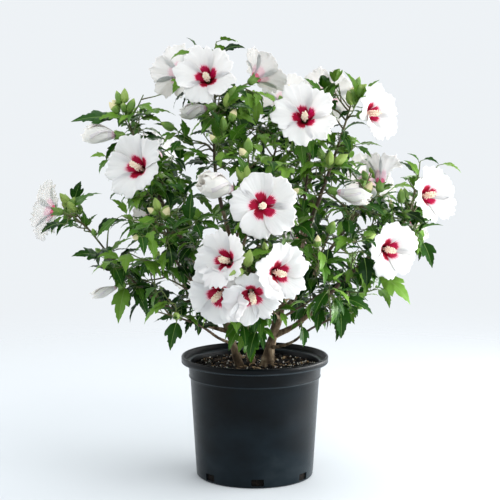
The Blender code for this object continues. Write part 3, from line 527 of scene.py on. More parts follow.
class Space:
    """Tells whether points lie in a shoot's own ground, clear of limbs, blooms and pot."""

    def __init__(self, limbs, spines):
        spans = [(name, shoot) for name, shoots in spines.items() for shoot in shoots]
        owned = [(name, point) for name, shoot in spans for point in shoot.points]
        self.names = np.array([name for name, _ in owned])
        self.spine = np.array([point for _, point in owned])
        marks = [mark for limb in limbs for mark in zip(limb.points, limb.radii)]
        for points, radii in limbs:
            marks += [((a + b) / 2, radius) for a, b, radius in zip(points, points[1:], radii)]
        self.limb = np.array([point for point, _ in marks])
        self.limb_radius = np.array([radius for _, radius in marks])
        self.throats = np.array([b.throat for b in BLOOMS])
        self.faces = np.array([facing(b) for b in BLOOMS])
        self.sizes = np.array([b.radius for b in BLOOMS])
        self.lengths = np.array([b.length for b in BLOOMS])
        shown = [Gap(*np.mean(spray.buds, axis=0), *BUD_ROOM, spray.depth) for spray in SPRAYS if spray.buds]
        self.gaps = np.array(GAPS + shown)

    def own(self, name, points):
        away = np.linalg.norm(points[:, None] - self.spine[None], axis=2)
        mine = away[:, self.names == name].min(axis=1)
        others = away[:, self.names != name].min(axis=1)
        return (mine < others).all()

    def off_limbs(self, points):
        away = np.linalg.norm(points[:, None] - self.limb[None], axis=2) - self.limb_radius
        return (away > MARGIN * 0.5).all()

    def off_blooms(self, points):
        """Open blooms keep the funnel in front of their petals free, and rolled ones their own length."""
        away = points[:, None] - self.throats[None]
        ahead = (away * self.faces).sum(axis=2)
        aside = np.sqrt(np.maximum((away**2).sum(axis=2) - ahead**2, 0))
        is_open = self.lengths == 0
        in_front = (ahead > 0.34 * aside - 0.012) & (ahead < FUNNEL_LENGTH)
        in_funnel = in_front & (aside < self.sizes * FUNNEL_WIDTH)
        in_roll = (aside < self.sizes + MARGIN) & (ahead > -PEDICEL) & (ahead < self.lengths + MARGIN)
        return not (in_funnel & is_open | in_roll & ~is_open).any()

    def off_gaps(self, points):
        away = (seen_at(points)[:, None] - self.gaps[:, :2]) / self.gaps[:, 2:4]
        inside = (away**2).sum(axis=2) < 1
        return not (inside & (points[:, None, 1] < self.gaps[:, 4])).any()

    def free(self, name, points):
        points = np.array(points)
        clear = off_pot(points) and self.off_gaps(points) and self.own(name, points)
        return clear and self.off_limbs(points) and self.off_blooms(points)


class Crowd:
    """What already takes room, as small search trees with a middle, a reach and an owner each."""

    def __init__(self):
        self.trees, self.middles, self.reaches, self.owners = [], np.zeros((0, 3)), np.zeros(0), []

    def add(self, part, owner):
        self.keep(*room_of(part), owner)

    def keep(self, tree, middle, reach, owner):
        self.trees.append(tree)
        self.middles = np.vstack([self.middles, middle])
        self.reaches = np.append(self.reaches, reach)
        self.owners.append(owner)

    def takes(self, part, owner, heeds_all=True):
        """Takes the room of a small part, unless it crosses something that its owner doesn't carry.

        With heeds_all false it only keeps off blooms.
        """
        tree, middle, reach = room_of(part)
        near = np.linalg.norm(self.middles - middle, axis=1) < self.reaches + reach
        for i in np.nonzero(near)[0]:
            heeded = self.owners[i] != owner and (heeds_all or self.owners[i] == "bloom")
            if heeded and tree.overlap(self.trees[i]):
                return False
        self.keep(tree, middle, reach, None)
        return True


def room_of(part):
    """(search tree, middle, reach) of a small part."""
    middle = part.corners.mean(axis=0)
    tree = BVHTree.FromPolygons(part.corners.tolist(), part.faces.tolist())
    return tree, middle, np.linalg.norm(part.corners - middle, axis=1).max()


BUD_FACES = np.array([(0, 2, 1), (0, 3, 2), (0, 1, 3), (4, 1, 2), (4, 2, 3), (4, 3, 1)])
BLADE_FACES = np.array([(0, 1, 3), (2, 3, 1)])


class Growth:
    """Grows every shoot by one seeded rule. What would leave its ground is turned, and skipped in the end."""

    def __init__(self, limbs):
        self.spines = {}  # {mass name: its leader and its flowering twigs}
        for mass in MASSES:
            leader = leader_of(mass, limbs)
            twigs = [flowering_twig(bloom, leader) for bloom in BLOOMS if bloom.mass == mass.name]
            self.spines[mass.name] = (leader, *twigs)
        self.space = Space(limbs.values(), self.spines)
        self.crowd = Crowd()
        self.leaves, self.twigs, self.buds = [], [], []
        for name, shoots in self.spines.items():
            for number, shoot in enumerate(shoots):
                self.crowd.add(tube(*shoot, 3), (name, number))
        for bloom in BLOOMS:
            self.crowd.add(bloom_proxy(bloom), "bloom")
        for number, spray in enumerate(SPRAYS):
            self.add_spray(spray, random.Random(SEED * 4000 + number))
        for number, mass in enumerate(MASSES):
            self.add_buds(mass, random.Random(SEED * 2000 + number))

    def add_spray(self, spray, rng):
        """A twig with its buds and leaves, from the nearest place on its shoot to where the spray ends."""
        end = place_seen(spray.end, spray.depth)
        lines = [shoot.points for shoot in self.spines[spray.mass]]
        places = [(line, i) for line in lines for i in range(len(line) - 1)]
        points, i = min(places, key=lambda place: (place[0][place[1]] + upward(SPRAY_RISE) - end).length)
        start, line, straight = points[i], heading(points, i), (end - points[i]).normalized()
        arriving = (straight + upward(0.5)).normalized()
        path = sweep(start, (line + straight).normalized(), end, arriving, 5)
        twig = Shoot(path, taper(TWIG_RADIUS, TWIG_TIP_RADIUS, 5))
        number = len(self.crowd.trees)
        self.crowd.add(tube(*twig, 3), number)
        self.twigs.append((twig, 2))
        for seen in spray.buds:
            tip = place_seen(seen, spray.depth + rng.uniform(-0.010, 0.010))
            size = BUD_LENGTH * rng.uniform(0.92, 1.15)
            stalk = max((tip - end).length - size, 0.002)
            self.place_bud(end, (tip - end).normalized(), size, stalk, rng)
        mass = MASSES[FOLIAGE.index(spray.mass)]
        for k, seen in enumerate(spray.leaves):
            tip = place_seen(seen, spray.depth + rng.uniform(-0.022, 0.004))
            base, _ = place_on(twig, 0.99 - SPRAY_LEAF_STEP * k)
            chord = tip - base
            away = chord.normalized()
            up = across(away, Vector((0, -0.45, 1)))
            along = (away + up * 0.34).normalized()
            leaf = Leaf(base, along, across(along, up), chord.length / LEAF_STRETCH * 1.02)
            tint = tint_of(mass, 1, 0.8, rng)
            self.take_leaf(leaf, number, tint, rng.uniform(0.6, 1), heeds_all=False)

    def add_buds(self, mass, rng):
        """Buds that crowd the end of a leader: one at its tip and the rest below it."""
        leader = self.spines[mass.name][0]
        for k in range(mass.buds):
            base, line = place_on(leader, 1 - (k * BUD_STEP + 0.001) / length_of(leader))
            size, leaning = BUD_LENGTH * rng.uniform(0.8, 1.15), line + outward(line, k * GOLDEN_ANGLE) * 1.1
            if k:
                self.place_bud(base, (leaning + upward(0.3)).normalized(), size, 0.006, rng)
            else:
                self.place_bud(base, line, size, 0.003, rng)

    def place_bud(self, base, direction, size, stalk, rng):
        """A bud on a short stalk, and its room in the crowd."""
        foot = base + direction * stalk
        side = across(direction)
        other = direction.cross(side)
        middle, girth = foot + direction * size * 0.5, BUD_RADIUS * size / BUD_LENGTH
        ring = [middle + (side * math.cos(a) + other * math.sin(a)) * girth for a in (0, 2.1, 4.2)]
        if self.crowd.takes(Part(np.array([foot, *ring, foot + direction * size]), BUD_FACES), None):
            self.buds.append((base, foot, direction, size, rng.random()))

    def add_leaf(self, mass, owner, place, turn, size, tint, lobes, rng):
        """The first of a few turns and sizes of a leaf that has room."""
        for k in range(LEAF_TRIES):
            leaf = leaf_at(*place, turn + k * 0.9, size * (1 - 0.04 * k), rng)
            if self.space.free(mass.name, leaf_marks(leaf)) and self.take_leaf(leaf, owner, tint, lobes):
                break

    def take_leaf(self, leaf, owner, tint, lobes, heeds_all=True):
        """Keeps a leaf if its blade crosses nothing that has its room already."""
        side = leaf.along.cross(leaf.up) * (leaf.length * LEAF_WIDTH * 0.42)
        middle = leaf.base + leaf.along * (leaf.length * LEAF_WIDEST)
        start = leaf.base + leaf.along * (leaf.length * 0.12)
        tip = leaf.base + (leaf.along - leaf.up * 0.16) * leaf.length
        blade = Part(np.array([start, middle + side, tip, middle - side]), BLADE_FACES)
        taken = self.crowd.takes(blade, owner, heeds_all)
        if taken:
            self.leaves.append(LeafMark(leaf, tint, lobes))
        return taken

    def grow(self, mass, number):
        rng = random.Random(SEED * 1000 + number)
        extra = random.Random(SEED * 3000 + number)
        leader, *flowering = self.spines[mass.name]
        shoots = [(leader, (mass.name, 0), leaf_places(leader, *LEADER_LEAVES, rng), 0)]
        for k, twig in enumerate(flowering, 1):
            shoots.append((twig, (mass.name, k), leaf_places(twig, *FLOWERING_LEAVES, rng), 1))
        turn = rng.uniform(0, math.tau)
        for k in range(mass.twigs):
            share = 0.08 + 0.84 * (k + rng.uniform(0.2, 0.8)) / mass.twigs
            length, lift = TWIG_LENGTH * rng.uniform(0.80, 1.15) * (1 - 0.25 * share), rng.uniform(0.1, 0.9)
            for attempt in range(TWIG_TRIES):
                angle = turn + k * GOLDEN_ANGLE + attempt * 1.1
                twig = side_twig(leader, share, angle, length * (1 - 0.07 * attempt), lift)
                if self.grow_twig(mass, twig, (mass.name, 0)):
                    places = leaf_places(twig, *TWIG_LEAVES, rng)
                    places += [(TWIG_END, angle + side, 1.0) for side in (0, math.pi)]
                    shoots.append((twig, self.crowd.owners[-1], places, 2))
                    break
        self.twigs += [(shoot, kind) for shoot, _, _, kind in shoots]
        for shoot, owner, places, kind in shoots:
            for share, leaf_turn, size in places:
                tint = tint_of(mass, kind, share, extra)
                self.add_leaf(mass, owner, place_on(shoot, share), leaf_turn, size, tint, 1.0, rng)
        for shoot, owner, _, kind in shoots:
            self.add_spurs(mass, shoot, owner, kind, extra)
        for shoot, owner, _, kind in shoots:
            for share, leaf_turn, size in leaf_places(shoot, *EXTRA_LEAVES, extra, NODE_STEP):
                tint, lobes = tint_of(mass, kind, share, extra), extra.uniform(0.3, 1)
                self.add_leaf(mass, owner, place_on(shoot, share), leaf_turn, size, tint, lobes, extra)

    def grow_twig(self, mass, twig, owner):
        """Tries to keep a twig, which then owns its room under its own number."""
        grown = self.space.free(mass.name, twig.points[1:]) and self.crowd.takes(tube(*twig, 3), owner)
        if grown:
            self.crowd.owners[-1] = len(self.crowd.owners) - 1
        return grown

    def add_spurs(self, mass, shoot, owner, kind, rng):
        """Short finer twigs, each with a tuft of leaves and now and then a bud."""
        count = round(length_of(shoot) / SPUR_STEP)
        turn = rng.uniform(0, math.tau)
        for k in range(count):
            share = (k + rng.uniform(0.2, 0.8)) / count * 0.9 + 0.05
            length, lift = SPUR_LENGTH * rng.uniform(0.6, 1.3), rng.uniform(0.0, 0.8)
            for attempt in range(SPUR_TRIES):
                angle = turn + k * GOLDEN_ANGLE + attempt * 1.7
                points = side_twig(shoot, share, angle, length, lift).points
                twig = Shoot(points, taper(TWIG_RADIUS * 0.75, TWIG_TIP_RADIUS * 0.8, 3))
                if self.grow_twig(mass, twig, owner):
                    self.twigs.append((twig, 3))
                    self.dress_spur(mass, twig, angle, kind, share, rng)
                    break

    def dress_spur(self, mass, twig, turn, kind, share, rng):
        number = self.crowd.owners[-1]
        end, line = place_on(twig, SPUR_LEAVES[0])
        if rng.random() < SPUR_BUDS and share > 0.5:
            size = BUD_LENGTH * rng.uniform(0.55, 0.9)
            self.place_bud(end, (line + upward(0.4)).normalized(), size, 0.004, rng)
        for k, place in enumerate(SPUR_LEAVES):
            size = rng.uniform(0.55, 1.00)
            tint, lobes = tint_of(mass, kind + 1, share, rng), rng.uniform(0.2, 1)
            angle = turn + k * GOLDEN_ANGLE
            self.add_leaf(mass, number, place_on(twig, place), angle, size, tint, lobes, rng)


# ---- parts made of rings and grids
def grid_faces(rows, columns, closed=False):
    """Four-sided faces of a grid of corners, row by row. closed joins the last column to the first."""
    first_columns = np.arange(columns if closed else columns - 1)
    row, column = np.meshgrid(np.arange(rows - 1), first_columns, indexing="ij")
    a = (row * columns + column).ravel()
    b = (row * columns + (column + 1) % columns).ravel()
    return np.stack([a, b, b + columns, a + columns], axis=1)


def fan(first, count, centre):
    """Triangles from a ring of corners to one corner."""
    k = np.arange(count)
    return np.stack([first + k, first + (k + 1) % count, np.full(count, centre)], axis=1)


def circle(radius, height, angles):
    """Corners of one ring round Z."""
    return np.stack([radius * np.cos(angles), radius * np.sin(angles), height + 0 * angles], axis=1)


def even_angles(sides):
    return np.arange(sides) * math.tau / sides


def ringed(rings, foot=None, tip=None):
    """A part of triangles over rings of corners, closed by a corner below the first and above the last."""
    sides, count = len(rings[0]), len(rings) * len(rings[0])
    corners = [np.asarray(rings).reshape(-1, 3)]
    quads = grid_faces(len(rings), sides, closed=True)
    faces = [quads[:, [0, 1, 2]], quads[:, [0, 2, 3]]]
    if foot is not None:
        corners.append([foot])
        faces.append(fan(0, sides, count)[:, ::-1])
        count += 1
    if tip is not None:
        corners.append([tip])
        faces.append(fan((len(rings) - 1) * sides, sides, count))
    return Part(np.vstack(corners), np.vstack(faces))


def ring_lines(points):
    """(side, other side) unit vectors at each point of a line, turning as little as they can along it."""
    frames, normal = [], across(heading(points, 0), Vector((0, 1, 0)))
    for i in range(len(points)):
        line = heading(points, i)
        normal = across(line, normal)
        frames.append((normal, line.cross(normal)))
    return frames


def tube(points, radii, sides):
    """A tapering limb, closed by a short cone at its tip."""
    angles, rings = even_angles(sides), []
    for point, radius, (normal, other) in zip(points, radii, ring_lines(points)):
        spokes = np.outer(np.cos(angles), normal) + np.outer(np.sin(angles), other)
        rings.append(np.array(point) + radius * spokes)
    return ringed(rings, tip=points[-1] + heading(points, len(points) - 1) * radii[-1] * 0.6)


def moved(part, turn, base):
    """A part turned and moved into the plant's frame."""
    return Part(part.corners @ np.array(turn).T + np.array(base), part.faces)


def frame_to(direction):
    """Rotation that takes +Z to a direction."""
    side = across(direction)
    return Matrix((direction.cross(side), side, direction)).transposed()


def bloom_frame(bloom):
    """Rotation that takes +Z to where a bloom faces."""
    return frame_to(facing(bloom)) @ Matrix.Rotation(math.radians(bloom.azimuth * 0.3), 3, "Z")


def bloom_proxy(bloom):
    """A few faces in a bloom's outline, for what grows near it."""
    radius, length, sides = bloom.radius, bloom.length, 8
    if length:
        profile = ((0.003, -CALYX_LENGTH), (radius * 0.95, length * 0.5), (radius * 0.5, length))
    else:
        profile = ((0.003, -CALYX_LENGTH), (0.006, 0), (radius * 0.6, radius * 0.24), (radius, radius * 0.32))
    rings = [circle(reach, height, even_angles(sides)) for reach, height in profile]
    outline = Part(np.vstack(rings), grid_faces(len(profile), sides, closed=True))
    return moved(outline, bloom_frame(bloom), bloom.throat)


class Batch:
    """Many small parts that become one piece, with a material slot for each face."""

    def __init__(self):
        self.corners, self.faces, self.slots, self.count = [], [], [], 0

    def add(self, part, slot):
        """slot is one number, or one for each face."""
        self.corners.append(part.corners)
        self.faces.append(part.faces + self.count)
        self.slots.append(np.broadcast_to(slot, len(part.faces)))
        self.count += len(part.corners)


def placed(name, data):
    """A new object in the scene."""
    made = bpy.data.objects.new(name, data)
    bpy.context.scene.collection.objects.link(made)
    return made


def piece(name, batch, materials, nodes, sharp=None):
    """Makes one object of a batch, which rides on the part's body and stands for CAD nodes."""
    data = bpy.data.meshes.new(name)
    corners = np.concatenate(batch.corners)
    loops = np.concatenate([faces.ravel() for faces in batch.faces])
    totals = np.concatenate([np.full(len(faces), faces.shape[1]) for faces in batch.faces])
    data.vertices.add(len(corners))
    data.vertices.foreach_set("co", corners.ravel())
    data.loops.add(len(loops))
    data.loops.foreach_set("vertex_index", loops)
    data.polygons.add(len(totals))
    data.polygons.foreach_set("loop_start", np.concatenate([[0], np.cumsum(totals)[:-1]]))
    data.polygons.foreach_set("material_index", np.concatenate(batch.slots).astype(np.int32))
    data.update(calc_edges=True)
    data.validate()
    for material in materials:
        data.materials.append(material)
    data.shade_smooth()
    if sharp:
        data.set_sharp_from_angle(angle=math.radians(sharp))
    made = placed(name, data)
    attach(made, "root")
    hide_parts(*nodes)
    return made


# ---- materials
# Grains, as marks for each metre and their height in metres.
LEAF_GRAIN, GREEN_GRAIN, PETAL_GRAIN, CHIP_GRAIN = (700, 0.0002), (600, 0.0002), (900, 0.00008), (900, 0.0004)


def fed(tree, target, inputs):
    """Gives each named input of a node a value, or links it to another node's output."""
    for name, value in inputs.items():
        if isinstance(value, bpy.types.NodeSocket):
            tree.links.new(value, target.inputs[name])
        else:
            target.inputs[name].default_value = value
    return target


def node(tree, kind, inputs):
    return fed(tree, tree.nodes.new("ShaderNode" + kind), inputs)


def finish(name, colour, roughness, specular=0.5, grain=None):
    """A plain colour, with a fine grain if one is given."""
    made = bpy.data.materials.new(name)
    made.use_nodes = True
    made.diffuse_color = (*colour, 1)
    dress(made, {"Base Color": (*colour, 1), "Roughness": roughness, "Specular IOR Level": specular})
    if grain:
        dress(made, {"Normal": bumped(made.node_tree, noise_texture(made.node_tree, grain[0]), grain[1])})
    return made


def dress(material, inputs):
    tree = material.node_tree
    fed(tree, tree.nodes["Principled BSDF"], inputs)


def noise_texture(tree, scale, detail=3.0, stretch=(1, 1, 1)):
    place = node(tree, "TexCoord", {}).outputs["Object"]
    mapping = node(tree, "Mapping", {"Scale": stretch, "Vector": place})
    inputs = {"Scale": scale, "Detail": detail, "Vector": mapping.outputs["Vector"]}
    return node(tree, "TexNoise", inputs).outputs["Fac"]


def bumped(tree, height, distance):
    return node(tree, "Bump", {"Distance": distance, "Height": height}).outputs["Normal"]


def ramp(tree, value, stops):
    """A colour ramp: stops are (place, colour)."""
    made = node(tree, "ValToRGB", {"Fac": value})
    elements = made.color_ramp.elements
    while len(elements) < len(stops):
        elements.new(0.5)
    for element, (place, colour) in zip(elements, stops):
        element.position = place
        element.color = (*colour, 1)
    return made.outputs["Color"]


# ---- leaves
# Half of a leaf's outline, from the blade's foot to its tip: (half width, share along, where its vein leaves
# the midrib, 1 where a vein runs out to it), in shares of the blade's length. One leaf is three-lobed.
LOBED = (
    (0.012, 0.00, 0.00, 0), (0.090, 0.03, 0.02, 0), (0.172, 0.10, 0.05, 1), (0.228, 0.17, 0.09, 0),
    (0.292, 0.26, 0.14, 1), (0.318, 0.36, 0.20, 0), (0.338, 0.47, 0.26, 1), (0.300, 0.55, 0.33, 0),
    (0.178, 0.49, 0.40, 0), (0.170, 0.58, 0.47, 1), (0.160, 0.64, 0.54, 0), (0.154, 0.71, 0.61, 1),
    (0.108, 0.74, 0.68, 0), (0.088, 0.83, 0.76, 1), (0.050, 0.88, 0.85, 0), (0.004, 1.00, 0.99, 1),
)
PLAIN_LEAF = (
    (0.012, 0.00, 0.00, 0), (0.082, 0.03, 0.02, 0), (0.142, 0.10, 0.05, 1), (0.168, 0.17, 0.09, 0),
    (0.218, 0.27, 0.14, 1), (0.224, 0.34, 0.19, 0), (0.248, 0.43, 0.25, 1), (0.226, 0.47, 0.32, 0),
    (0.202, 0.51, 0.39, 0), (0.208, 0.59, 0.46, 1), (0.180, 0.63, 0.53, 0), (0.166, 0.71, 0.60, 1),
    (0.126, 0.75, 0.68, 0), (0.106, 0.83, 0.76, 1), (0.062, 0.88, 0.85, 0), (0.004, 1.00, 0.99, 1),
)
BLADE_COLUMNS = 6  # outline, middle and rib corners of one half, then those of the other
RIB_COLUMN = 2  # the faces between the two rib corners
VEIN_RELIEF = 0.011  # how far the blade swells between its veins, as a share of its length
STALK_SIDES, STALK_RADIUS = 3, 0.00065


def leaf_faces():
    """(faces, slots) of one leaf, blade first. The rib has a slot of its own, marked -1, and the stalk -2."""
    rows = len(LOBED)
    blade = grid_faces(rows, BLADE_COLUMNS)
    column = blade.min(axis=1) % BLADE_COLUMNS
    stalk = grid_faces(3, STALK_SIDES, closed=True) + rows * BLADE_COLUMNS
    slots = [np.where(column == RIB_COLUMN, -1, 0), np.full(len(stalk), -2)]
    return np.concatenate([blade, stalk]), np.concatenate(slots)


def leaf_parts(marks, seed):
    """(part, slots) of many leaves. Each blade folds along its midrib, arches over and droops at its tip."""
    rng, number = np.random.default_rng(seed), len(marks)
    base, along, up, length = (np.array(values) for values in zip(*(mark.leaf for mark in marks)))
    side, length = np.cross(along, up), length * LEAF_STRETCH
    lobes = np.array([mark.lobes for mark in marks])[:, None, None]
    tints = np.array([mark.tint for mark in marks])[:, None]

    def drawn(low, high):
        return rng.uniform(low, high, number)[:, None]

    raised = np.radians(drawn(4, 26))
    drooped = np.radians(drawn(-84, -26))
    fold = np.radians(drawn(4, 32))
    twist = np.radians(drawn(-26, 26))
    broad = drawn(0.74, 1.04)
    wave = drawn(0, math.tau)

    def place(share, aside, above):
        """Corners at a share of the leaf's length, aside of and above its arched middle, in its lengths."""
        turn, roll = drooped - raised, twist * share
        angle = raised + turn * share
        x = aside * np.cos(roll) - above * np.sin(roll)
        z = aside * np.sin(roll) + above * np.cos(roll)
        forward = (np.sin(angle) - np.sin(raised)) / turn - z * np.sin(angle)
        rise = (np.cos(raised) - np.cos(angle)) / turn + z * np.cos(angle)
        axes = ((forward, along), (rise, up), (x, side))
        offset = sum(reach[..., None] * axis[:, None] for reach, axis in axes)
        return base[:, None] + offset * length[:, None, None]

    blade = 1 - PETIOLE_SHARE
    outline = np.array(PLAIN_LEAF) * (1 - lobes) + np.array(LOBED) * lobes
    half_width, reached, left, veined = np.moveaxis(outline, 2, 0)
    width = half_width * broad * blade
    outer_share, rib_share = PETIOLE_SHARE + reached * blade, PETIOLE_SHARE + left * blade
    rib_width = np.minimum(width * 0.35, 0.0105 * (1.15 - reached))
    fade = np.minimum(width * 6, 1)  # of ripples and veins, where the blade is narrow
    swell = VEIN_RELIEF * np.where(veined > 0.5, -0.7, 1.0) * fade
    middle_width = width * 0.54
    middle_rise = middle_width * np.sin(fold) - 0.40 * middle_width**2 + swell
    columns = []
    for half in (1, -1):
        ripple = 0.020 * np.sin(wave + half + np.arange(len(LOBED)) * 2.1) * fade
        edge_rise = width * np.sin(fold) - 0.75 * width**2 + ripple
        edge = place(outer_share, half * width * np.cos(fold), edge_rise)
        middle = place((outer_share + rib_share) / 2, half * middle_width * np.cos(fold), middle_rise)
        rib = place(rib_share, half * rib_width, -0.3 * rib_width)
        columns += [edge, middle, rib][::half]
    corners = [np.stack(columns, axis=2).reshape(number, -1, 3)]
    radius, angles = STALK_RADIUS / length[:, None], even_angles(STALK_SIDES)
    for share, sunk in ((0.0, 0), (PETIOLE_SHARE * 0.5, 0), (PETIOLE_SHARE * 1.05, 0.006)):
        share = np.full((number, STALK_SIDES), share)
        corners.append(place(share, radius * np.cos(angles), radius * np.sin(angles) - sunk))
    corners = np.concatenate(corners, axis=1)
    faces, slots = leaf_faces()
    all_faces = faces + (np.arange(number) * corners.shape[1])[:, None, None]
    slots = np.where(slots < 0, len(LEAF_TINTS) - 1 - slots, tints)
    return Part(corners.reshape(-1, 3), all_faces.reshape(-1, 4)), slots.ravel()


def make_leaves(marks):
    materials = [finish(name, colour, 0.38, 0.18, LEAF_GRAIN) for name, colour in LEAF_TINTS.items()]
    materials.append(finish("leaf_rib", (0.170, 0.290, 0.060), 0.50, 0.34))
    materials.append(finish("leaf_stalk", (0.130, 0.180, 0.045), 0.50, 0.34))
    for number, quarter in enumerate(QUARTERS):
        batch, own = Batch(), [mark for mark in marks if quarter_of(mark.leaf.base) == quarter]
        batch.add(*leaf_parts(own, SEED + number))
        piece(f"leaves_{quarter}", batch, materials, FOLIAGE, sharp=70)


# ---- blooms
PETALS = 5
PETAL_RAYS, EYE_ROWS, PETAL_ROWS = 33, 4, 16
ROLL_ROWS, ROLL_COLUMNS = 20, 19
PETAL_SPREAD = math.radians(49)  # of a petal's outermost ray off its middle
PETAL_THICKNESS = 0.0005
EYE_SHARE = 0.380  # of the bloom's radius
EYE_NOTCH = 0.46  # how much shorter the crimson is at a petal's edge
EYE_EDGE = (0.0012, 0.0017, 0.0032)  # how far rose, blush and pearl each reach beyond the crimson
THROAT_RADIUS, THROAT_DEPTH = 0.0036, 0.0070
STANDARD_RADIUS = 0.050  # of the bloom whose column has the length below
COLUMN_LENGTH, COLUMN_RADII, COLUMN_BOW = 0.028, (0.0024, 0.0012), 0.0016
STAMENS, STAMENS_FROM, STAMENS_OVER = 96, 0.34, 0.62  # how many, and where they start and how far they spread
STIGMAS = 5
FILAMENT_RADII, STIGMA_RADII = (0.00018, 0.00015), (0.00035, 0.00030)


def shell(grid, thickness):
    """A closed thin sheet with a grid of corners (rows, columns, 3) as its front. Front faces come first."""
    rows, columns = grid.shape[:2]
    normal = np.cross(np.gradient(grid, axis=0), np.gradient(grid, axis=1))
    normal /= np.maximum(np.linalg.norm(normal, axis=2, keepdims=True), 1e-9)
    front_faces = grid_faces(rows, columns)[:, ::-1]
    back_faces = grid_faces(rows, columns) + rows * columns
    edge = [(0, c) for c in range(columns)] + [(r, columns - 1) for r in range(1, rows)]
    edge += [(rows - 1, c) for c in range(columns - 2, -1, -1)] + [(r, 0) for r in range(rows - 2, 0, -1)]
    loop = np.array([r * columns + c for r, c in edge])
    after = np.roll(loop, -1)
    rim = np.stack([loop, after, after + rows * columns, loop + rows * columns], axis=1)
    corners = np.concatenate([grid.reshape(-1, 3), (grid - normal * thickness).reshape(-1, 3)])
    return Part(corners, np.concatenate([front_faces, back_faces, rim]))


def petal_part(bloom, number, rng):
    """One petal as a fan of rays from the throat, in the bloom's own frame, and a slot for each face."""
    radius = bloom.radius
    phi = np.linspace(-PETAL_SPREAD, PETAL_SPREAD, PETAL_RAYS)
    u = phi / PETAL_SPREAD

    def waves(count, low, high):
        """A sum of sines across the petal, between two numbers of half waves."""
        pitches, phases = rng.uniform(low, high, count), rng.uniform(0, math.tau, count)
        return sum(np.sin(u * pitch + phase) for pitch, phase in zip(pitches, phases)) / count

    notch = rng.uniform(0.01, 0.06) * np.exp(-(((u - rng.uniform(-0.3, 0.3)) / 0.14) ** 2))
    reach = radius * (1 - 0.07 * u**2 - 0.46 * np.abs(u) ** 4.2 - notch)
    reach *= 1 + 0.050 * waves(2, 6, 10) + 0.050 * waves(3, 16, 30)
    reach *= rng.uniform(0.94, 1.05)
    streak = np.where(np.arange(PETAL_RAYS) % 2 == 0, 1.07, 0.94) * rng.uniform(0.93, 1.07, PETAL_RAYS)
    eye = radius * EYE_SHARE * (1 - EYE_NOTCH * u**2) * streak
    rows = [THROAT_RADIUS + (eye - THROAT_RADIUS) * (j / EYE_ROWS) ** 1.4 for j in range(EYE_ROWS + 1)]
    for step in EYE_EDGE:
        rows.append(rows[-1] + step * rng.uniform(0.8, 1.2, PETAL_RAYS))
    edge, left = rows[-1], PETAL_ROWS - len(rows) + 1
    rows += [edge + (reach - edge) * (j / left) ** 0.90 for j in range(1, left + 1)]
    rho = np.array(rows)
    share = np.clip((rho - THROAT_RADIUS) / (radius - THROAT_RADIUS), 0, 1.05)
    rise = radius * 0.38 * (1 - (1 - np.minimum(share, 1)) ** 1.9)
    funnel = -THROAT_DEPTH * np.exp(-(rho - THROAT_RADIUS) / 0.0026)
    ruffle = radius * share**2.5 * (0.085 * waves(2, 2.5, 5) + 0.060 * share * waves(2, 7, 12))
    crinkle = radius * 0.055 * share**6 * waves(3, 16, 30)
    lap = 0.0012 * u * np.clip(share * 2.2, 0, 1)  # one edge over the next petal, the other under
    curl = -radius * share**4 * rng.uniform(0.00, 0.15)
    dish = -radius * 0.060 * u**2 * share * rng.uniform(-0.6, 1.2)
    veins = 0.00034 * np.cos(phi * math.tau / math.radians(7.7)) * np.clip(share * 3, 0, 1)
    height = rise + funnel + ruffle + crinkle + lap + curl + dish + veins
    angle = phi + math.tau * number / PETALS
    lift = math.radians(bloom.shape) * np.clip(share * 4, 0, 1)
    out, height = rho * np.cos(lift) - height * np.sin(lift), rho * np.sin(lift) + height * np.cos(lift)
    part = shell(np.stack([out * np.cos(angle), out * np.sin(angle), height], axis=2), PETAL_THICKNESS)
    row = part.faces.min(axis=1) // PETAL_RAYS
    bands = [row < 1, row < EYE_ROWS, row < EYE_ROWS + 1, row < EYE_ROWS + 2, row < EYE_ROWS + 3]
    front = np.select(bands, [0, 1, 2, 3, 4], 5)
    back_row = row - (PETAL_ROWS + 1)
    back = np.select([back_row < 2, back_row < 4, back_row < 6], [2, 3, 4], 5)
    return part, np.where(row > PETAL_ROWS, back, front)


def rolled_petal(bloom, number, rng):
    """One petal of a rolled bloom, wrapped round the bloom's line and over the next."""
    t = np.linspace(0, 1, ROLL_ROWS)[:, None]
    w = np.linspace(0, 1, ROLL_COLUMNS)[None]
    crest = 1 - 0.16 * (2 * w - 1) ** 2
    crest = crest + 0.030 * np.sin(w * 17 + number) + 0.020 * np.sin(w * 31 + number * 2)
    length = bloom.length * rng.uniform(0.90, 1.04) * (1 - (1 - crest) * t**2)
    mouth = bloom.shape
    girths = (0.27, 0.38, 0.56, 0.80, 0.97, 1.0, (0.9 + mouth) / 2, mouth * 0.9)
    girth = np.interp(t, (0, 0.08, 0.20, 0.38, 0.56, 0.74, 0.90, 1), girths)
    spiral = 0.66 + 0.36 * w**0.8 - 0.42 * t**4 * (1 - w)
    flute = 1 + 0.030 * np.sin(w * 21 + number * 2) * np.clip(t * 2, 0, 1)
    flute = flute + 0.035 * np.sin(w * 6 + number + t * 4)
    radius = bloom.radius * (girth * spiral * flute + 0.10 * t**5 * w)
    angle = math.tau * number / PETALS + w * 2.7 + t * 1.7
    sheet = np.stack([radius * np.cos(angle), radius * np.sin(angle), t * length + 0 * angle], axis=2)
    part = shell(sheet, -PETAL_THICKNESS)
    corner = part.faces.min(axis=1) % (ROLL_ROWS * ROLL_COLUMNS)
    row, column = corner // ROLL_COLUMNS, corner % ROLL_COLUMNS
    late = (column > ROLL_COLUMNS - 4) & (row < ROLL_ROWS - 4)
    return part, np.select([row < 2, row < 4, late], [3, 4, 4], 6)


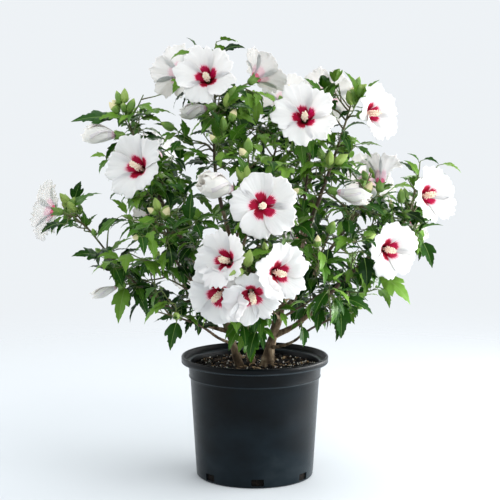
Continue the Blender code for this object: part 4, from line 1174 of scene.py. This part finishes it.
def column_parts(bloom, rng):
    """The cream column with its stamens and five stigmas, along +Z from the throat."""
    length = COLUMN_LENGTH * bloom.radius / STANDARD_RADIUS
    sway = rng.uniform(0, math.tau)
    points = []
    for share in shares(9):
        bow = COLUMN_BOW * share**2
        height = -THROAT_DEPTH + (length + THROAT_DEPTH) * share
        points.append(Vector((bow * math.cos(sway), bow * math.sin(sway), height)))
    parts = [(tube(points, taper(*COLUMN_RADII, len(points)), 8), 0)]
    for k in range(STAMENS):
        share = STAMENS_FROM + STAMENS_OVER * k / STAMENS
        angle = k * GOLDEN_ANGLE + rng.uniform(-0.3, 0.3)
        out = Vector((math.cos(angle), math.sin(angle), rng.uniform(0.0, 0.6))).normalized()
        root, _ = place_on(Shoot(points, None), share)
        end = root + out * rng.uniform(0.0036, 0.0062) * (1 - 0.30 * share)
        parts.append((tube([root, end], FILAMENT_RADII, 3), 0))
        parts.append((blob(end, rng.uniform(0.0010, 0.0014), rng), 1))
    start = points[-1]
    for k in range(STIGMAS):
        angle = math.tau * k / STIGMAS + 0.4
        lean = Vector((math.cos(angle) * 0.6, math.sin(angle) * 0.6, 1)).normalized()
        parts.append((tube([start, start + lean * 0.0036], STIGMA_RADII, 4), 0))
        parts.append((blob(start + lean * 0.0040, 0.0010, rng), 0))
    return parts


def blob(centre, radius, rng):
    """A small irregular grain of eight faces."""
    axes = ((1, 0, 0), (0, 1, 0), (-1, 0, 0), (0, -1, 0), (0, 0, 1), (0, 0, -1))
    corners = [tuple(centre + Vector(axis) * radius * rng.uniform(0.75, 1.25)) for axis in axes]
    faces = [(k, (k + 1) % 4, 4) for k in range(4)] + [((k + 1) % 4, k, 5) for k in range(4)]
    return Part(np.array(corners), np.array(faces))


CALYX_TOP = -0.0022  # of the cup's rim, below the throat
CALYX_RADIUS = 0.0064
CALYX_LOBES = 5


def calyx_part():
    """A green cup along +Z, below the throat, with pointed lobes that follow the petals' backs."""
    sides = CALYX_LOBES * 4
    number, angles = np.arange(sides), even_angles(sides)
    lobe = 1 - np.abs((number % 4) - 2) / 2  # 1 in a lobe's middle, 0 between lobes
    lean = np.select([number % 4 == 1, number % 4 == 3], [1, -1], 0) * math.tau / sides
    bulge = 1 + 0.05 * np.cos(angles * CALYX_LOBES)
    rings = []
    for share, girth in ((0.0, 0.34), (0.10, 0.74), (0.40, 0.96), (0.75, 1.0), (1.0, 1.02)):
        height = -CALYX_LENGTH + (CALYX_LENGTH + CALYX_TOP) * share
        rings.append(circle(CALYX_RADIUS * girth * bulge, height, angles))
    for step in (0.5, 1.0):
        radius = CALYX_RADIUS * 1.02 + 0.0052 * step * lobe
        rings.append(circle(radius, CALYX_TOP + 0.0042 * step * lobe + 0.0003, angles + 0.5 * step * lean))
    return ringed(rings, foot=(0, 0, -CALYX_LENGTH))


BRACTS = 7
BRACT_LENGTH = 0.011
CALYX_FOOT = 0.004  # radius of a calyx's foot, where its bracts leave it
BRACT_FACES = (
    (0, 2, 3), (0, 3, 1), (2, 4, 3), (1, 3, 6), (1, 6, 5), (5, 6, 2), (5, 2, 0), (3, 4, 6), (6, 4, 2),
)


def bract_parts(height, rng, length=BRACT_LENGTH):
    """The narrow bracts that stand out round the foot of a calyx."""
    parts, keel = [], upward(-0.0005)
    for k in range(BRACTS):
        angle = math.tau * k / BRACTS + rng.uniform(-0.15, 0.15)
        out = Vector((math.cos(angle), math.sin(angle), 0))
        side = Vector((-out.y, out.x, 0)) * 0.0008
        root = out * CALYX_FOOT * 0.4 + upward(height)
        middle = root + out * length * 0.42 + upward(length * 0.35)
        tip = middle + out * length * 0.30 + upward(length * rng.uniform(0.2, 0.5))
        corners = [root + side, root - side, middle + side, middle - side, tip, root + keel, middle + keel]
        parts.append(Part(np.array([tuple(corner) for corner in corners]), np.array(BRACT_FACES)))
    return parts


def petal_material(name, colour):
    """Petals let a little light through."""
    made = finish(name, colour, 0.60, 0.22, PETAL_GRAIN)
    dress(made, {"Subsurface Weight": 0.6, "Subsurface Radius": (1.0, 0.9, 0.85), "Subsurface Scale": 0.004})
    return made


def make_blooms():
    petals = {quarter: Batch() for quarter in QUARTERS}
    columns, calyxes = Batch(), Batch()
    for number, bloom in enumerate(BLOOMS):
        rng = np.random.default_rng(SEED * 100 + number)
        turn, throat = bloom_frame(bloom), bloom.throat
        one_petal = rolled_petal if bloom.length else petal_part
        for k in range(PETALS):
            part, slots = one_petal(bloom, k, rng)
            petals[quarter_of(throat)].add(moved(part, turn, throat), slots)
        if not bloom.length:
            for part, slot in column_parts(bloom, rng):
                columns.add(moved(part, turn, throat), slot)
        calyxes.add(moved(calyx_part(), turn, throat), 0)
        for part in bract_parts(-CALYX_LENGTH + 0.001, rng):
            calyxes.add(moved(part, turn, throat), 1)
    materials = [petal_material(name, colour) for name, colour in PETAL_TINTS.items()]
    for quarter in QUARTERS:
        piece(f"petals_{quarter}", petals[quarter], materials, FOLIAGE)
    materials = [finish("column_cream", (0.88, 0.74, 0.58), 0.6)]
    materials.append(finish("anther_cream", (0.92, 0.83, 0.65), 0.8))
    piece("columns", columns, materials, FOLIAGE, sharp=60)
    greens = ("bud_green", "bud_light")
    materials = [finish(name, BUD_TINTS[name], 0.55, 0.4, GREEN_GRAIN) for name in greens]
    piece("calyxes", calyxes, materials, FOLIAGE, sharp=50)


def bud_part(size, cream):
    """A closed bud along +Z: five sepals that meet in a point, or that part round a cream tip."""
    angles = even_angles(15)
    girth = BUD_RADIUS * size / BUD_LENGTH
    profile = ((0.0, 0.40), (0.10, 0.80), (0.30, 1.0), (0.52, 0.98), (0.70, 0.76), (0.86, 0.42), (0.96, 0.14))
    rings = []
    for share, wide in profile:
        ridge = 1 + 0.10 * np.cos(angles * 5) * math.sin(math.pi * min(share + 0.15, 1))
        rings.append(circle(girth * wide * ridge, size * share, angles + share * 0.5))
    part = ringed(rings, (0, 0, 0), (0, 0, size))
    height = part.corners[part.faces].mean(axis=1)[:, 2] / size
    if cream:
        return part, np.where(height > 0.55, 2, np.where(height > 0.42, 1, 0))
    return part, np.where(height > 0.80, 1, 0)


def make_buds(buds):
    batch = Batch()
    for number, (base, foot, direction, size, luck) in enumerate(buds):
        rng = np.random.default_rng(SEED * 500 + number)
        turn = frame_to(direction)
        part, slots = bud_part(size, luck > 0.74)
        if luck < 0.35:
            slots = np.maximum(slots, 1)
        batch.add(moved(part, turn, foot), slots)
        for bract in bract_parts(0.0005, rng, 0.009 * size / BUD_LENGTH + 0.002):
            batch.add(moved(bract, turn, foot), 1)
        stalk = tube([base, (base + foot) / 2, foot + direction * 0.001], [0.0009, 0.0008, 0.0010], 5)
        batch.add(stalk, 0)
    materials = [finish(name, colour, 0.5, 0.4, GREEN_GRAIN) for name, colour in BUD_TINTS.items()]
    piece("buds", batch, materials, FOLIAGE, sharp=50)


# ---- wood
# For a leader, a flowering twig, a side twig and a spur: (steps put between its points, sides, the share of
# its length where its tint changes, the tints below and above that).
TWIG_KINDS = ((5, 8, 0.55, 0, 1), (4, 6, 0.5, 1, 2), (4, 5, 0.3, 1, 2), (3, 4, 0.3, 1, 2))
TWIG_TINTS = (
    ("twig_brown", (0.085, 0.056, 0.036), 0.7, 0.0003),
    ("twig_olive", (0.105, 0.092, 0.040), 0.6, 0.0003),
    ("twig_green", (0.115, 0.160, 0.045), 0.55, 0.0002),
)
TWIG_WOBBLE = 0.0004
BARK_GIRTH = 0.90  # of a limb's radius, before its ridges and lumps stand out
SCAR_STEP = 0.024  # between the rings of leaf scars
COLLAR_REACH, FOOT_REACH = 0.008, 0.014  # how fast a bough's collar and a stem's foot thin out
STEM_STEPS, STEM_SIDES = 10, 22
BOUGH_STEPS, BOUGH_SIDES = 8, 14


def make_twigs(twigs):
    """Leaders, flowering twigs, side twigs and spurs: brown where they are old, green at the tips."""
    batch = Batch()
    for shoot, kind in twigs:
        steps, sides, change, low_tint, high_tint = TWIG_KINDS[kind]
        points, radii = finer(shoot.points, steps), finer(shoot.radii, steps)
        rng = random.Random(round(points[0].x * 1e6) + kind)
        for k in range(1, len(points) - 1):
            points[k] = points[k] + Vector([rng.uniform(-TWIG_WOBBLE, TWIG_WOBBLE) for _ in range(3)])
        part = tube(points, radii, sides)
        ring = np.minimum(part.faces.min(axis=1) // sides, len(points) - 1) / len(points)
        batch.add(part, np.where(ring < change, low_tint, high_tint))
    materials = [finish(name, colour, rough, 0.4, (900, grain)) for name, colour, rough, grain in TWIG_TINTS]
    piece("twigs", batch, materials, FOLIAGE, sharp=60)


def bark_material():
    made = finish("bark", (0.2, 0.15, 0.1), 0.82, 0.3)
    tree = made.node_tree
    colours = ramp(tree, noise_texture(tree, 115, 6, (1, 1, 0.45)), (
        (0.28, (0.030, 0.019, 0.010)), (0.44, (0.088, 0.058, 0.032)),
        (0.58, (0.190, 0.138, 0.082)), (0.72, (0.350, 0.285, 0.195)),
    ))
    relief = bumped(tree, noise_texture(tree, 420, 6, (1, 1, 0.3)), 0.0016)
    dress(made, {"Base Color": colours, "Normal": relief})
    return made


def bark_ring(point, radius, frame, travelled, number, stem):
    """One ring of corners with ridges, lumps, leaf scars and a swollen foot."""
    normal, other = frame
    scar = 0.16 * max(0.0, math.cos(travelled / SCAR_STEP * math.tau + number)) ** 8
    collar = 0.0 if stem else 0.45 * math.exp(-travelled / COLLAR_REACH)
    ring = []
    for angle in even_angles(STEM_SIDES if stem else BOUGH_SIDES):
        x, y = math.cos(angle), math.sin(angle)
        seed = Vector((x * 1.6, y * 1.6, travelled * 90 + number * 7.3))
        ridge = 0.13 * noise.noise(seed) + 0.07 * noise.noise(seed * 2.7)
        lump = 0.20 * noise.noise(Vector((x, y, travelled * 26 + number * 3.1)))
        foot = 0.16 * math.cos(angle * 5 + number) * math.exp(-travelled / FOOT_REACH) if stem else 0.0
        girth = BARK_GIRTH + ridge + lump + scar + collar + foot
        ring.append(tuple(point + (normal * x + other * y) * radius * girth))
    return ring


def make_bark(limbs):
    """Stems and boughs, each bough's root sunk in its parent."""
    batch = Batch()
    for number, limb in enumerate(LIMBS):
        stem = limb.parent is None
        points, radii = (finer(line, STEM_STEPS if stem else BOUGH_STEPS) for line in limbs[limb.name])
        if stem:
            points, radii = [points[0] - upward(0.006)] + points, [radii[0] * 1.25] + radii
        steps = [0] + [(b - a).length for a, b in zip(points, points[1:])]
        rows = zip(points, radii, ring_lines(points), np.cumsum(steps))
        rings = [bark_ring(*row, number, stem) for row in rows]
        tip = points[-1] + heading(points, len(points) - 1) * radii[-1] * 0.5
        batch.add(ringed(rings, tip=tip), 0)
    piece("bark", batch, [bark_material()], [limb.name for limb in LIMBS])


# ---- pot and potting mix
POT_SPECULAR, POT_SHEEN = 0.13, 0.05
# near-black at the top for painted shade, paler and bluer at the foot for a painted reflection of the floor
POT_SHADE_AND_REFLECTION_TINTS = (
    (0.30, (0.0004, 0.0010, 0.0014)), (0.55, (0.0012, 0.0036, 0.0056)),
    (0.80, (0.0036, 0.0085, 0.0125)), (1.00, (0.0120, 0.0185, 0.0230)),
)
STEP_HEIGHT, LIP_HEIGHT = POT_HEIGHT - COLLAR_DEPTH, POT_HEIGHT - LIP_DEPTH
PAINTED_HIGHLIGHT_LINE = 0.0011  # half the height of the painted highlight line along an edge
# colour of the painted highlight lines
PAINTED_HIGHLIGHT_TINT = (0.030, 0.043, 0.052, 1)
DRAIN_CORNER = 0.0016  # radius of a hole's corners
DRAIN_REACH = 0.012  # how far a hole's cutter stands off the wall


def wall_radius(height):
    top = RIM_RADIUS - LIP_OVERHANG - COLLAR_STEP
    return FOOT_RADIUS + (top - FOOT_RADIUS) * height / LIP_HEIGHT


def arc(centre_radius, centre_height, radius, first, last, count):
    """Points of a profile along an arc, from one angle to another in degrees."""
    angles = [math.radians(first + (last - first) * k / (count - 1)) for k in range(count)]
    return [(centre_radius + radius * math.cos(a), centre_height + radius * math.sin(a)) for a in angles]


def lathe_part(profile, sides):
    """Turns a profile of (radius, height) round Z. Its first and last points are on the axis."""
    rings = [circle(radius, height, even_angles(sides)) for radius, height in profile[1:-1]]
    return ringed(rings, (0, 0, profile[0][1]), (0, 0, profile[-1][1]))


def pot_material():
    """Black plastic, mottled, darker towards its rim as painted shade and paler and bluer towards its foot as
    a painted reflection of the floor, with painted highlight lines along two edges and scuffs that dull it.
    """
    made = finish("pot_plastic", (0.0030, 0.0072, 0.0105), 0.36, POT_SPECULAR)
    tree = made.node_tree
    dust = noise_texture(tree, 14, 6, (1, 1, 1.6))
    place = node(tree, "TexCoord", {}).outputs["Object"]
    height = node(tree, "SeparateXYZ", {"Vector": place}).outputs["Z"]
    # painted shade darkens the pot towards its rim, and a painted reflection of the floor pales it towards
    # its foot
    painted_shade_and_reflection = {"From Min": 0.0, "From Max": POT_HEIGHT, "To Min": 0.34, "To Max": -0.16, "Value": height}
    level = node(tree, "Math", {0: dust, 1: node(tree, "MapRange", painted_shade_and_reflection).outputs["Result"]})
    colours = ramp(tree, level.outputs["Value"], POT_SHADE_AND_REFLECTION_TINTS)
    scuffs = noise_texture(tree, 55, 8, (1, 1, 3))
    share = node(tree, "MapRange", {"From Max": POT_HEIGHT, "Value": height}).outputs["Result"]
    stops = []
    # painted highlight lines: paler bands along the collar's step and under the lip
    for edge, highlight in ((STEP_HEIGHT + 0.0012, 0.55), (LIP_HEIGHT + 0.0012, 0.85)):
        for offset, shown in ((-1.5, 0), (-0.4, highlight), (0.4, highlight), (1.5, 0)):
            stops.append(((edge + offset * PAINTED_HIGHLIGHT_LINE) / POT_HEIGHT, (shown,) * 3))
    lines = ramp(tree, share, stops)
    mix = tree.nodes.new("ShaderNodeMix")
    mix.data_type = "RGBA"
    fed(tree, mix, {"Factor": lines, "A": colours, "B": PAINTED_HIGHLIGHT_TINT})
    dulled = ramp(tree, scuffs, ((0.30, (0.29,) * 3), (0.62, (0.34,) * 3), (0.80, (0.50,) * 3)))
    relief = bumped(tree, noise_texture(tree, 900, 2), 0.00012)
    dress(made, {"Base Color": mix.outputs["Result"], "Roughness": dulled, "Normal": relief})
    dress(made, {"Sheen Weight": POT_SHEEN, "Sheen Roughness": 0.35, "Sheen Tint": (0.85, 0.95, 1, 1)})
    return made


def pot_profile():
    """(radius, height) from the middle of the underside, up the wall, over the lip and down to the floor."""
    collar, lip = wall_radius(STEP_HEIGHT) + COLLAR_STEP, wall_radius(LIP_HEIGHT) + COLLAR_STEP
    profile = [(0, 0), (FOOT_RADIUS - 0.004, 0)]
    profile += arc(FOOT_RADIUS - 0.004, 0.004, 0.004, -80, -8, 6)
    profile += [(wall_radius(z), z) for z in (0.010, 0.060, 0.110, STEP_HEIGHT - 0.0035)]
    for share in (0.15, 0.5, 0.85, 1.0):
        radius, height = wall_radius(STEP_HEIGHT) + COLLAR_STEP * share, STEP_HEIGHT - 0.0030 + 0.0035 * share
        profile.append((radius, height))
    profile += arc(collar, STEP_HEIGHT + 0.0016, 0.0009, -70, 80, 5)
    profile += [(lip, LIP_HEIGHT - 0.0015), (lip + 0.0008, LIP_HEIGHT - 0.0002)]
    profile += [(RIM_RADIUS - 0.0030, LIP_HEIGHT + 0.0002)]
    profile += arc(RIM_RADIUS - 0.0018, LIP_HEIGHT + 0.0020, 0.0018, -80, 0, 4)
    profile += [(RIM_RADIUS - 0.0007, LIP_HEIGHT + 0.0034), (RIM_RADIUS - 0.0002, LIP_HEIGHT + 0.0046)]
    profile += arc(RIM_RADIUS - 0.0022, POT_HEIGHT - 0.0022, 0.0022, 4, 172, 9)
    profile += [(RIM_RADIUS - 0.0058, LIP_HEIGHT + 0.0042), (RIM_RADIUS - 0.0070, LIP_HEIGHT + 0.0028)]
    profile += arc(wall_radius(LIP_HEIGHT) - WALL + 0.0014, LIP_HEIGHT + 0.0006, 0.0014, 88, 176, 4)
    return profile + [(wall_radius(0.10) - WALL, 0.10), (FOOT_RADIUS - WALL, WALL), (0, WALL)]


def make_pot():
    batch = Batch()
    batch.add(lathe_part(pot_profile(), POT_SIDES), 0)
    pot = piece("pot_shell", batch, [pot_material()], ["pot"])
    cutter = drain_cutter()
    cut = pot.modifiers.new("drains", "BOOLEAN")
    cut.operation, cut.object, cut.solver = "DIFFERENCE", cutter, "EXACT"
    graph = bpy.context.evaluated_depsgraph_get()
    data = bpy.data.meshes.new_from_object(pot.evaluated_get(graph))
    pot.modifiers.clear()
    pot.data = data
    bpy.data.objects.remove(cutter)
    data.shade_smooth()
    data.set_sharp_from_angle(angle=math.radians(38))


def drain_cutter():
    """Rounded boxes through the foot of the wall, just above the floor."""
    outline = []
    for right, top, first in ((1, 1, 0), (-1, 1, 90), (-1, -1, 180), (1, -1, 270)):
        for a in (math.radians(first + k * 30) for k in range(4)):
            x = right * (DRAIN_WIDTH / 2 - DRAIN_CORNER) + DRAIN_CORNER * math.cos(a)
            z = (DRAIN_LOW + DRAIN_HIGH) / 2 + top * ((DRAIN_HIGH - DRAIN_LOW) / 2 - DRAIN_CORNER)
            outline.append((x, z + DRAIN_CORNER * math.sin(a)))
    corners, faces, count = [], [], len(outline)
    for hole in range(DRAIN_HOLES):
        turn = Matrix.Rotation(math.tau * hole / DRAIN_HOLES + DRAIN_TURN, 3, "Z")
        near = range(len(corners), len(corners) + count)
        far = range(near.stop, near.stop + count)
        for y in (-FOOT_RADIUS - DRAIN_REACH, -FOOT_RADIUS + DRAIN_REACH):
            corners += [turn @ Vector((x, y, z)) for x, z in outline]
        faces += [tuple(near), tuple(reversed(far))]
        for k in range(count):
            after = (k + 1) % count
            faces.append((near[k], far[k], far[after], near[after]))
    return plain("drain_cutter", corners, faces)


def plain(name, corners, faces, *materials):
    """An object of a few given corners and faces."""
    data = bpy.data.meshes.new(name)
    data.from_pydata(corners, [], faces)
    for material in materials:
        data.materials.append(material)
    return placed(name, data)


MIX_TINTS = (
    (0.34, (0.0010, 0.0008, 0.0007)), (0.54, (0.0040, 0.0028, 0.0020)), (0.72, (0.0150, 0.0095, 0.0058)),
)
CHIPS = (  # name, colour, how many, and their least and greatest length
    ("chip_dark", (0.007, 0.005, 0.004), 300, (0.004, 0.011)),
    ("chip_brown", (0.050, 0.030, 0.017), 170, (0.004, 0.010)),
    ("chip_tan", (0.330, 0.225, 0.125), 100, (0.004, 0.009)),
)
PERLITE = 220
BED_SIDES, BED_ROWS, BED_FLOOR = 120, 30, 0.0026
CHIP_OUTLINE = ((-0.5, -0.4), (0.0, -0.5), (0.5, -0.3), (0.5, 0.3), (0.05, 0.5), (-0.5, 0.35))
CHIP_ENDS = ((0, 5, 4), (0, 4, 1), (1, 4, 3), (1, 3, 2), (6, 10, 11), (6, 7, 10), (7, 9, 10), (7, 8, 9))


def mix_material():
    made = finish("potting_mix", (0.02, 0.013, 0.008), 0.95, 0.2)
    tree = made.node_tree
    crumbs = noise_texture(tree, 260, 6)
    dress(made, {"Base Color": ramp(tree, crumbs, MIX_TINTS), "Normal": bumped(tree, crumbs, 0.0018)})
    return made


def chip(centre, size, rng):
    """A splinter of bark: a bent flake with uneven corners."""
    length, width, thick = size
    turn = Matrix.Rotation(rng.uniform(0, math.tau), 3, "Z") @ Matrix.Rotation(rng.uniform(-0.5, 0.5), 3, "X")
    turn = turn @ Matrix.Rotation(rng.uniform(-0.4, 0.4), 3, "Y")
    corners = []
    for z in (-0.5, 0.5):
        for x, y in CHIP_OUTLINE:
            point = Vector((x * length, y * width, z * thick)) * rng.uniform(0.75, 1.2)
            corners.append(tuple(centre + turn @ point))
    faces = list(CHIP_ENDS)
    for a in range(6):
        b = (a + 1) % 6
        faces += [(a, b, b + 6), (a, b + 6, a + 6)]
    return Part(np.array(corners), np.array(faces))


def on_disc(reach, rng):
    """A random (x, y) on a disc, even over its area."""
    r, a = reach * math.sqrt(rng.uniform(0, 1)), rng.uniform(0, math.tau)
    return r * math.cos(a), r * math.sin(a)


def bed_part(inner):
    """The rough bed of mix that fills the pot."""
    angles = even_angles(BED_SIDES)
    lows = (BED_FLOOR, 0.020, 0.060, 0.120, SOIL_TOP - 0.006)
    rings = [circle(wall_radius(low) - WALL - CLEAR * 2, low, angles) for low in lows]
    for j in range(BED_ROWS):
        reach = inner * (1 - j / BED_ROWS) ** 0.9
        ring = circle(reach, SOIL_TOP - 0.0012 - 0.0015 * (reach / inner) ** 6, angles)
        for corner in ring:
            coarse, fine = Vector((corner[0], corner[1], 0)) * 45, Vector((corner[0], corner[1], 1)) * 160
            corner[2] += 0.0020 * noise.noise(coarse) + 0.0016 * noise.noise(fine)
        rings.append(ring)
    return ringed(rings, (0, 0, BED_FLOOR), (0, 0, SOIL_TOP - 0.001))


def make_mix():
    """Potting mix, with bark chips and white grains of perlite on it."""
    rng, batch = np.random.default_rng(SEED), Batch()
    inner = wall_radius(SOIL_TOP) - WALL - CLEAR
    batch.add(bed_part(inner), 0)
    for slot, (_, _, count, sizes) in enumerate(CHIPS, 1):
        for _ in range(count):
            x, y = on_disc(inner * 0.95, rng)
            length = rng.uniform(*sizes)
            centre = Vector((x, y, SOIL_TOP + rng.uniform(-0.0010, 0.0014)))
            size = (length, length * rng.uniform(0.3, 0.6), length * rng.uniform(0.15, 0.3))
            batch.add(chip(centre, size, rng), slot)
    for _ in range(PERLITE):
        centre = Vector((*on_disc(inner * 0.97, rng), SOIL_TOP + rng.uniform(-0.0004, 0.0014)))
        batch.add(blob(centre, rng.uniform(0.0007, 0.0020), rng), len(CHIPS) + 1)
    tints = [(name, colour) for name, colour, _, _ in CHIPS] + [("perlite", (0.720, 0.690, 0.630))]
    materials = [mix_material()] + [finish(name, colour, 0.88, 0.3, CHIP_GRAIN) for name, colour in tints]
    piece("mix_bed", batch, materials, ["potting_mix"], sharp=50)


# ---- studio
BACKDROP = (0.856, 0.890, 0.920)
FLOOR_RADIUS, FLOOR_SIDES = 2.6, 96
FADE_START, FADE_END = 0.25, 2.0  # from the floor's middle
FLAG_REACH, FLAG_TOP, FLAG_Y = 4.0, 4.5, -4.0
SOFTBOXES = (  # name, place, what it points at, (width, height) and power
    ("key", (1.1, -1.5, 2.3), (0, 0, 0.35), (1.3, 1.3), 24),
    ("behind", (0.3, 2.2, 1.9), (0, 0, 0.35), (1.4, 1.4), 20),
    ("right", (1.5, 0.12, 0.45), (0, 0.1, 0.25), (1.8, 1.2), 19),
    ("right_strip", (0.95, 0.05, 0.16), (0, 0, 0.10), (1.3, 0.26), 14),
    ("left", (-1.5, 0.20, 0.80), (0, 0, 0.35), (1.5, 1.2), 9),
)


def make_camera():
    data = bpy.data.cameras.new("camera")
    data.lens, data.sensor_width = LENS, 36
    made = placed("camera", data)
    made.location = CAMERA_PLACE
    made.rotation_euler = (math.pi / 2 - CAMERA_PITCH, 0, 0)
    bpy.context.scene.camera = made


def floor_material():
    """Pale, and clear some way off."""
    made = finish("studio_floor", (0.645, 0.677, 0.702), 0.9, 0.1)
    tree = made.node_tree
    place = node(tree, "TexCoord", {}).outputs["Object"]
    away = node(tree, "VectorMath", {0: place})
    away.operation = "LENGTH"
    limits = {"From Min": FADE_START, "From Max": FADE_END, "Value": away.outputs["Value"]}
    fade = node(tree, "MapRange", limits)
    fade.interpolation_type = "SMOOTHSTEP"
    pale = tree.nodes["Principled BSDF"].outputs["BSDF"]
    clear = node(tree, "BsdfTransparent", {}).outputs["BSDF"]
    mix = node(tree, "MixShader", {"Fac": fade.outputs["Result"], 1: pale, 2: clear})
    fed(tree, tree.nodes["Material Output"], {"Surface": mix.outputs["Shader"]})
    return made


def make_floor():
    """A pale floor that fades into the backdrop some way off."""
    ring = [(math.cos(a) * FLOOR_RADIUS, math.sin(a) * FLOOR_RADIUS, 0) for a in even_angles(FLOOR_SIDES)]
    faces = [(0, 1 + k, 1 + (k + 1) % FLOOR_SIDES) for k in range(FLOOR_SIDES)]
    made = plain("studio_floor", [(0, 0, 0)] + ring, faces, floor_material())


def make_flag():
    """A black card behind the camera that only reflections see, as the dark side of a real studio."""
    outline = ((-FLAG_REACH, 0), (FLAG_REACH, 0), (FLAG_REACH, FLAG_TOP), (-FLAG_REACH, FLAG_TOP))
    corners, black = [(x, FLAG_Y, z) for x, z in outline], finish("studio_flag", (0.01, 0.01, 0.01), 0.9, 0.1)
    made = plain("studio_flag", corners, [(0, 1, 2, 3)], black)
    made.visible_camera = made.visible_diffuse = made.visible_shadow = False


def make_light(name, place, target, size, power):
    """A softbox that the camera doesn't see."""
    data = bpy.data.lights.new(name, "AREA")
    data.shape, data.energy = "RECTANGLE", power
    data.size, data.size_y = size
    made = placed(name, data)
    made.location = place
    made.rotation_euler = (Vector(place) - Vector(target)).to_track_quat("Z", "Y").to_euler()
    made.visible_camera = False


def make_studio():
    world = bpy.data.worlds.new("studio")
    world.use_nodes = True
    fed(world.node_tree, world.node_tree.nodes["Background"], {"Color": (*BACKDROP, 1), "Strength": 1.0})
    bpy.context.scene.world = world
    bpy.context.scene.view_settings.view_transform = "Standard"
    for softbox in SOFTBOXES:
        make_light(*softbox)
    make_floor()
    make_flag()


def main():
    make_camera()
    make_studio()
    limbs = limb_lines()
    growth = Growth(limbs)
    for number, mass in enumerate(MASSES):
        growth.grow(mass, number)
    make_leaves(growth.leaves)
    make_twigs(growth.twigs)
    make_blooms()
    make_buds(growth.buds)
    make_bark(limbs)
    make_pot()
    make_mix()


main()
